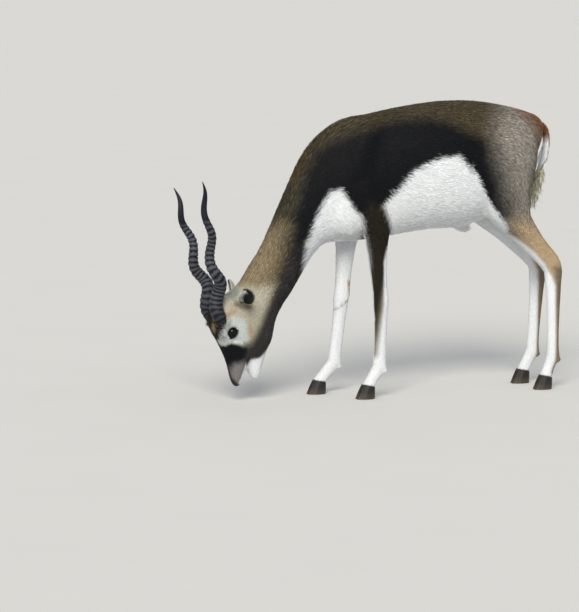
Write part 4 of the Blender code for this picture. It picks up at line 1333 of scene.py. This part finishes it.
class BLACKBUCK_OT_eyes(bpy.types.Operator):
    """Sets the eyeballs and their dark lids"""

    bl_idname = "blackbuck.eyes"
    bl_label = "Eyes"

    def execute(self, context):
        lid_skin, tree, shader = new_material("wet_lid_skin", Roughness=0.35, Specular_IOR_Level=0.5)
        place = add_node(tree, "ShaderNodeTexCoord")
        raised(tree, shader, noise_grain(tree, place.outputs["Object"], 0.0012, 3.0), 0.0003, 1.0)
        shader.inputs["Base Color"].default_value = opaque(context.scene.blackbuck_eyes.lid)
        for side in SIDES:
            self.eyeball(side)
            self.lids(side, lid_skin)
        return {"FINISHED"}

    @staticmethod
    def eyeball(side):
        """A fine ball with a bulging cornea, turned to where the eye looks."""
        centre, radius, long_axis, short_axis, look = eye_frame(side)
        sheet = bmesh.new()
        bmesh.ops.create_uvsphere(sheet, u_segments=48, v_segments=32, radius=radius - EYE_INSET)
        for vertex in sheet.verts:
            front = max(0.0, vertex.co.z / radius - CORNEA_START) / CORNEA_SHARE
            vertex.co.z += CORNEA_BULGE * front * front * (3 - 2 * front)
        turned = Matrix((long_axis, short_axis, look)).transposed().to_4x4()
        sheet.transform(Matrix.Translation(centre) @ turned)
        mesh = mesh_from(sheet, "eyeball_" + side)
        mesh.shade_smooth()
        mesh.materials.append(eye_material("wet_eye_" + side, side))
        placed(linked("eyeball_" + side, mesh), "eye", "eye_" + side)

    @staticmethod
    def lids(side, material):
        """The bare rims of both lids, as one round band along the almond, pointed at its corners."""
        centre, radius, long_axis, short_axis, look = eye_frame(side)
        short, long = EYE_OPENING
        points, faces, path = [], [], []
        for i in range(LID_TURNS):
            angle = math.tau * i / LID_TURNS
            u = long * LID_CORNERS * math.cos(angle)
            v = short * math.sin(angle) * (1 - LID_POINTED * math.cos(angle) ** 4)
            w = math.sqrt(max((radius + LID_HEIGHT) ** 2 - u * u - v * v, 0.0))
            path.append(centre + long_axis * u + short_axis * v + look * w)
        for i, point in enumerate(path):
            along = (path[(i + 1) % LID_TURNS] - path[i - 1]).normalized()
            out = (point - centre).normalized()
            beside = along.cross(out)
            thick = LID_THICKNESS + LID_THICKER * abs(math.cos(math.tau * i / LID_TURNS))
            for k in range(LID_RING):
                turn = math.tau * k / LID_RING
                points.append(point + (out * math.cos(turn) + beside * math.sin(turn)) * thick)
        for i in range(LID_TURNS):
            faces += ring_faces(i * LID_RING, (i + 1) % LID_TURNS * LID_RING, LID_RING)
        placed(object_from("lid_rims_" + side, points, faces, material), "eye")


def hoof_material():
    """Hoof keratin: dark, with fine growth rings, and pale dust near the ground."""
    made, tree, shader = new_material("hoof_keratin", Roughness=0.5, Specular_IOR_Level=0.4)
    place = add_node(tree, "ShaderNodeTexCoord")
    split = add_node(tree, "ShaderNodeSeparateXYZ", {"Vector": place.outputs["Object"]})
    grain = noise_grain(tree, place.outputs["Object"], 0.004, 4.0)
    # At a scale of 1 Blender's bands are tau / 20 of a metre high, so these are 1.5 mm
    rings = add_node(
        tree, "ShaderNodeTexWave",
        {"Vector": place.outputs["Object"], "Scale": math.tau / (20 * 0.0015), "Distortion": 1.5},
        wave_type="BANDS", bands_direction="Z",
    )
    dust = add_node(
        tree, "ShaderNodeMapRange",
        {"Value": split.outputs["Z"], "From Min": 0.001, "From Max": 0.020, "To Min": 0.65, "To Max": 0.0},
    )
    dusty = add_node(
        tree, "ShaderNodeMath", {0: dust.outputs["Result"], 1: grain.outputs["Fac"]}, operation="MULTIPLY"
    )
    colour = add_node(
        tree, "ShaderNodeMix",
        {"Factor": dusty.outputs["Value"], "A": opaque(HOOF_COLOUR), "B": opaque(DUST_COLOUR)},
        data_type="RGBA",
    )
    tree.links.new(colour.outputs["Result"], shader.inputs["Base Color"])
    raised(tree, shader, rings, 0.0003, 0.5)
    return made


class BLACKBUCK_OT_hooves(bpy.types.Operator):
    """Finishes the eight claws"""

    bl_idname = "blackbuck.hooves"
    bl_label = "Hooves"

    def execute(self, context):
        material = hoof_material()
        for name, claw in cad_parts.items():
            if name.startswith("hoof_"):
                dressed(claw, material)
                rounded = claw.modifiers.new("worn edges", "BEVEL")
                rounded.width = CLAW_EDGE
                rounded.segments = 3
                rounded.angle_limit = CLAW_ANGLE
        return {"FINISHED"}


class BLACKBUCK_OT_ears(bpy.types.Operator):
    """Shapes the ears, painted dark inside as the shade in their cups, with white hairs, and their fringe"""

    bl_idname = "blackbuck.ears"
    bl_label = "Ears"

    def execute(self, context):
        chance = np.random.default_rng(context.scene.blackbuck_coat.seed + 1)
        skin = hide_material()
        hair = bpy.data.materials["hair_keratin"]
        for side, sign in SIDES.items():
            node = "ear_" + side
            ear = cast("ear_skin_" + side, (node,), 0.0009, 6)
            ear.data.shade_smooth()
            places, normals = vectors(ear.data.vertices, "co"), vertex_normals(ear.data)
            root = on_side(EAR_ROOT, sign)
            axis = unit(np.array([EAR_AXIS[side]]) * (1, sign, 1))[0]
            opens = np.array(EAR_OPENS[side])
            opens = unit((opens - axis * (opens @ axis))[None])[0]
            paint(ear.data, "hair", self.colours(places - root, normals, axis, opens))
            dressed(ear, skin)
            placed(ear, "coat_tan", node)
            self.fringe(side, ear, root, axis, opens, chance, hair)
        return {"FINISHED"}

    @staticmethod
    def lit_upper_front(away, axis):
        """How far each place lies on the ear's pale upper front, where light falls, from 0 to 1."""
        beside = away - np.outer(away @ axis, axis)
        return smoothstep(beside[:, [0, 2]] @ np.array(EAR_LIT_PALE_WAY), *EAR_LIT_PALE_FROM)

    @staticmethod
    def colours(away, normals, axis, opens):
        """Bare skin inside the cup, painted dark as the shade in its hollow, and hair roots behind it and on
        its rim, pale only on the lit upper front.
        """
        inward = smoothstep(normals @ opens, 0.0, 0.5)[:, None]
        rim = smoothstep(away @ opens, EAR_RIM_LEVEL / 2, EAR_RIM_LEVEL)[:, None] * (1 - inward * 0.5)
        rim = rim * BLACKBUCK_OT_ears.lit_upper_front(away, axis)[:, None]
        back, pale = hair_pair("grey")[0], hair_pair("cream")[1]
        # Painted shade inside the cup, and pale rim hair only on the lit upper front, the rest of the rim
        # left dark as painted shade
        inside = np.array(EAR_CUP_SHADE_COLOUR)
        shade = back + (inside - back) * inward
        return shade + (pale - shade) * rim * 0.6

    @staticmethod
    def fringe(side, ear, root, axis, opens, chance, hair):
        """Short hair behind the ear, a pale fringe on the lit upper front of its rim, and long white hair
        across its mouth.
        """
        triangles, corners, area = triangles_of(ear.data, vectors(ear.data.vertices, "co"))
        middles = corners.mean(1)
        facing = unit(vertex_normals(ear.data)[triangles].mean(1))
        away = middles - root
        inner = facing @ opens > EAR_INWARD
        level = away @ opens
        front = BLACKBUCK_OT_ears.lit_upper_front(away, axis)
        share = np.where(inner, EAR_HAIR_INSIDE * (level > EAR_RIM_LEVEL / 2) * front, 1.0)
        count = EAR_HAIRS
        picks = evenly_picked(area * share * (away @ axis > EAR_BARE_FOOT), count)
        inside = inner[picks][:, None]
        rim = smoothstep(level[picks], EAR_RIM_LEVEL / 2, EAR_RIM_LEVEL)
        rim = (rim * front[picks])[:, None]
        lie = np.where(inside, axis * 0.35 + np.array((0.15, 0.0, -1.0)), axis + opens * rim * 0.35)
        lengths = np.where(inside, EAR_HAIR_LONG, EAR_HAIR_SHORT)[:, 0]
        lengths = lengths * chance.uniform(*EAR_HAIR_SPREAD, count)
        lifts = np.where(inside, *EAR_HAIR_LIFTS)[:, 0]
        shades = []
        for grey, cream, white in zip(*(hair_pair(name) for name in ("grey", "cream", "white"))):
            shade = grey + (cream - grey) * rim
            shades.append(shade + (white - shade) * inside)
        fringe = tufts(
            "ear_hair_" + side, middles[picks], facing[picks], lie, lengths, lifts, shades,
            rolled_out(middles[picks], root, root + axis * EAR_LENGTH), hair, EAR_HAIR_WIDTH, chance, 1,
        )
        placed(fringe, "coat_tan")


class BLACKBUCK_OT_tail(bpy.types.Operator):
    """Hangs the tail's long hair on its core"""

    bl_idname = "blackbuck.tail"
    bl_label = "Tail"

    def execute(self, context):
        coat = context.scene.blackbuck_coat
        chance = np.random.default_rng(coat.seed + 2)
        core = cast("tail_core", ("tail",), 0.0020, 12)
        places, normals = vectors(core.data.vertices, "co"), vertex_normals(core.data)
        low = smoothstep(-places[:, 2], -TAIL_LOW[0], -TAIL_LOW[1])[:, None]
        places -= normals * (TAIL_INSET + TAIL_THINNER * low) + np.array((TAIL_PULL, 0.0, 0.0)) * low
        moved(core, places)
        paint(core.data, "hair", self.colours(places, normals)[0])
        core.data.shade_smooth()
        dressed(core, hide_material())
        placed(core, "coat_white", "tail")
        triangles, corners, area = triangles_of(core.data, places)
        picks = evenly_picked(area, TAIL_HAIRS)
        roots = corners[picks].mean(1)
        upward = unit(normals[triangles[picks]].mean(1))
        lie, lengths, lifts = self.lie(roots)
        hair = tufts(
            "tail_hair", roots, upward, lie, lengths, lifts, self.colours(roots, upward),
            rolled_out(roots, *TAIL_BAKE_AXIS), bpy.data.materials["hair_keratin"],
            TAIL_HAIR_WIDTH, chance, 2,
        )
        placed(hair, "coat_white")
        return {"FINISHED"}

    @staticmethod
    def lie(roots):
        """The hair's way, length and lift at each root, read between the tail's guides by height."""
        heights = [height for height, *rest in TAIL_GUIDES]
        columns = zip(*[(*way, length, lift) for height, way, length, lift in TAIL_GUIDES])
        x, z, length, lift = (np.interp(roots[:, 2], heights, column) for column in columns)
        spread_out = (roots[:, 1] - MIDDLE_Y) * TAIL_SPREAD
        return unit(np.column_stack([x, spread_out, z])), length * 0.001, lift

    @staticmethod
    def colours(places, normals):
        """Rust hair above, white at the sides, gold behind and cream towards the tip."""
        above = smoothstep(places[:, 2], *TAIL_RUST)[:, None]
        low = smoothstep(-places[:, 2], -TAIL_CREAM[0], -TAIL_CREAM[1])[:, None]
        behind = smoothstep(normals[:, 0], 0.60, 0.90)[:, None] * (1 - low * 0.6)
        shades = []
        kinds = [hair_pair(name) for name in ("white", "cream", "orange", "rust")]
        for white, cream, orange, rust in zip(*kinds):
            shade = white + (cream - white) * low
            shade = shade + (orange - shade) * behind
            shades.append(shade + (rust - shade) * above)
        return shades


class BLACKBUCK_OT_studio(bpy.types.Operator):
    """Lays a pale floor, a wide soft lamp and the camera"""

    bl_idname = "blackbuck.studio"
    bl_label = "Studio"

    def execute(self, context):
        studio = context.scene.blackbuck_studio
        context.scene.view_settings.view_transform = "Standard"
        self.floor(studio)
        world = bpy.data.worlds.new("studio_air")
        world.use_nodes = True
        air = world.node_tree.nodes["Background"]
        air.inputs["Color"].default_value = opaque(SKY_COLOUR)
        air.inputs["Strength"].default_value = studio.sky
        context.scene.world = world
        self.sun(studio.key)
        self.camera(context)
        return {"FINISHED"}

    @staticmethod
    def floor(studio):
        """A wide round floor of matt paint."""
        made, tree, shader = new_material("matt_floor_paint", Roughness=0.9, Specular_IOR_Level=0.2)
        place = add_node(tree, "ShaderNodeTexCoord")
        mottle = noise_grain(tree, place.outputs["Object"], FLOOR_SPOTS, 2.0)
        mottled(tree, shader, tuple(studio.floor[:]), mottle, FLOOR_DARKEST, 1.0)
        sheet = bmesh.new()
        bmesh.ops.create_circle(sheet, cap_ends=True, segments=128, radius=FLOOR_RADIUS)
        mesh = mesh_from(sheet, "studio_floor")
        mesh.materials.append(made)
        floor = linked("studio_floor", mesh)

    @staticmethod
    def sun(strength):
        """A wide soft lamp, far off, that lights animal and floor evenly."""
        light = bpy.data.lights.new("key_sun", "SUN")
        light.angle = SUN_ANGLE
        light.energy = strength
        light.color = SUN_COLOUR
        linked("key_sun", light).rotation_euler = Vector(SUN_WAY).to_track_quat("Z", "Y").to_euler()

    @staticmethod
    def camera(context):
        """The camera, far off with a long lens."""
        azimuth, elevation = math.radians(CAMERA_AZIMUTH), math.radians(CAMERA_ELEVATION)
        back = Vector((
            math.sin(azimuth) * math.cos(elevation),
            -math.cos(azimuth) * math.cos(elevation),
            math.sin(elevation),
        ))
        data = bpy.data.cameras.new("camera")
        data.lens = CAMERA_LENS
        data.sensor_width = CAMERA_SENSOR
        data.clip_end = CAMERA_FAR
        data.dof.use_dof = False
        camera = linked("camera", data)
        camera.location = Vector(CAMERA_TARGET) + back * CAMERA_DISTANCE
        camera.rotation_euler = (-back).to_track_quat("-Z", "Y").to_euler()
        context.scene.camera = camera


class BLACKBUCK_PT_panel(bpy.types.Panel):
    """Lists the blackbuck's pieces and their settings"""

    bl_idname = "BLACKBUCK_PT_panel"
    bl_label = "Blackbuck"
    bl_space_type = "VIEW_3D"
    bl_region_type = "UI"
    bl_category = "Blackbuck"

    def draw(self, context):
        for operator, group in PIECES:
            box = self.layout.box()
            box.operator(operator.bl_idname)
            if group:
                settings = getattr(context.scene, group)
                for name in settings.bl_rna.properties.keys():
                    if name not in ("rna_type", "name"):
                        box.prop(settings, name)


GROUPS = {
    "blackbuck_hide": BlackbuckHide,
    "blackbuck_coat": BlackbuckCoat,
    "blackbuck_horns": BlackbuckHorns,
    "blackbuck_eyes": BlackbuckEyes,
    "blackbuck_studio": BlackbuckStudio,
}
# In the order in which they are made
PIECES = [
    (BLACKBUCK_OT_hide, "blackbuck_hide"),
    (BLACKBUCK_OT_coat, "blackbuck_coat"),
    (BLACKBUCK_OT_horns, "blackbuck_horns"),
    (BLACKBUCK_OT_eyes, "blackbuck_eyes"),
    (BLACKBUCK_OT_hooves, None),
    (BLACKBUCK_OT_ears, None),
    (BLACKBUCK_OT_tail, None),
    (BLACKBUCK_OT_studio, "blackbuck_studio"),
]


def register():
    for name, group in GROUPS.items():
        bpy.utils.register_class(group)
        setattr(bpy.types.Scene, name, bpy.props.PointerProperty(type=group))
    for operator, group in PIECES:
        bpy.utils.register_class(operator)
    bpy.utils.register_class(BLACKBUCK_PT_panel)


def unregister():
    bpy.utils.unregister_class(BLACKBUCK_PT_panel)
    for operator, group in reversed(PIECES):
        bpy.utils.unregister_class(operator)
    for name, group in reversed(GROUPS.items()):
        delattr(bpy.types.Scene, name)
        bpy.utils.unregister_class(group)


def main():
    """Builds every piece and the studio."""
    register()
    for operator, group in PIECES:
        getattr(bpy.ops.blackbuck, operator.bl_idname.split(".")[1])()


if __name__ == "__main__":
    main()
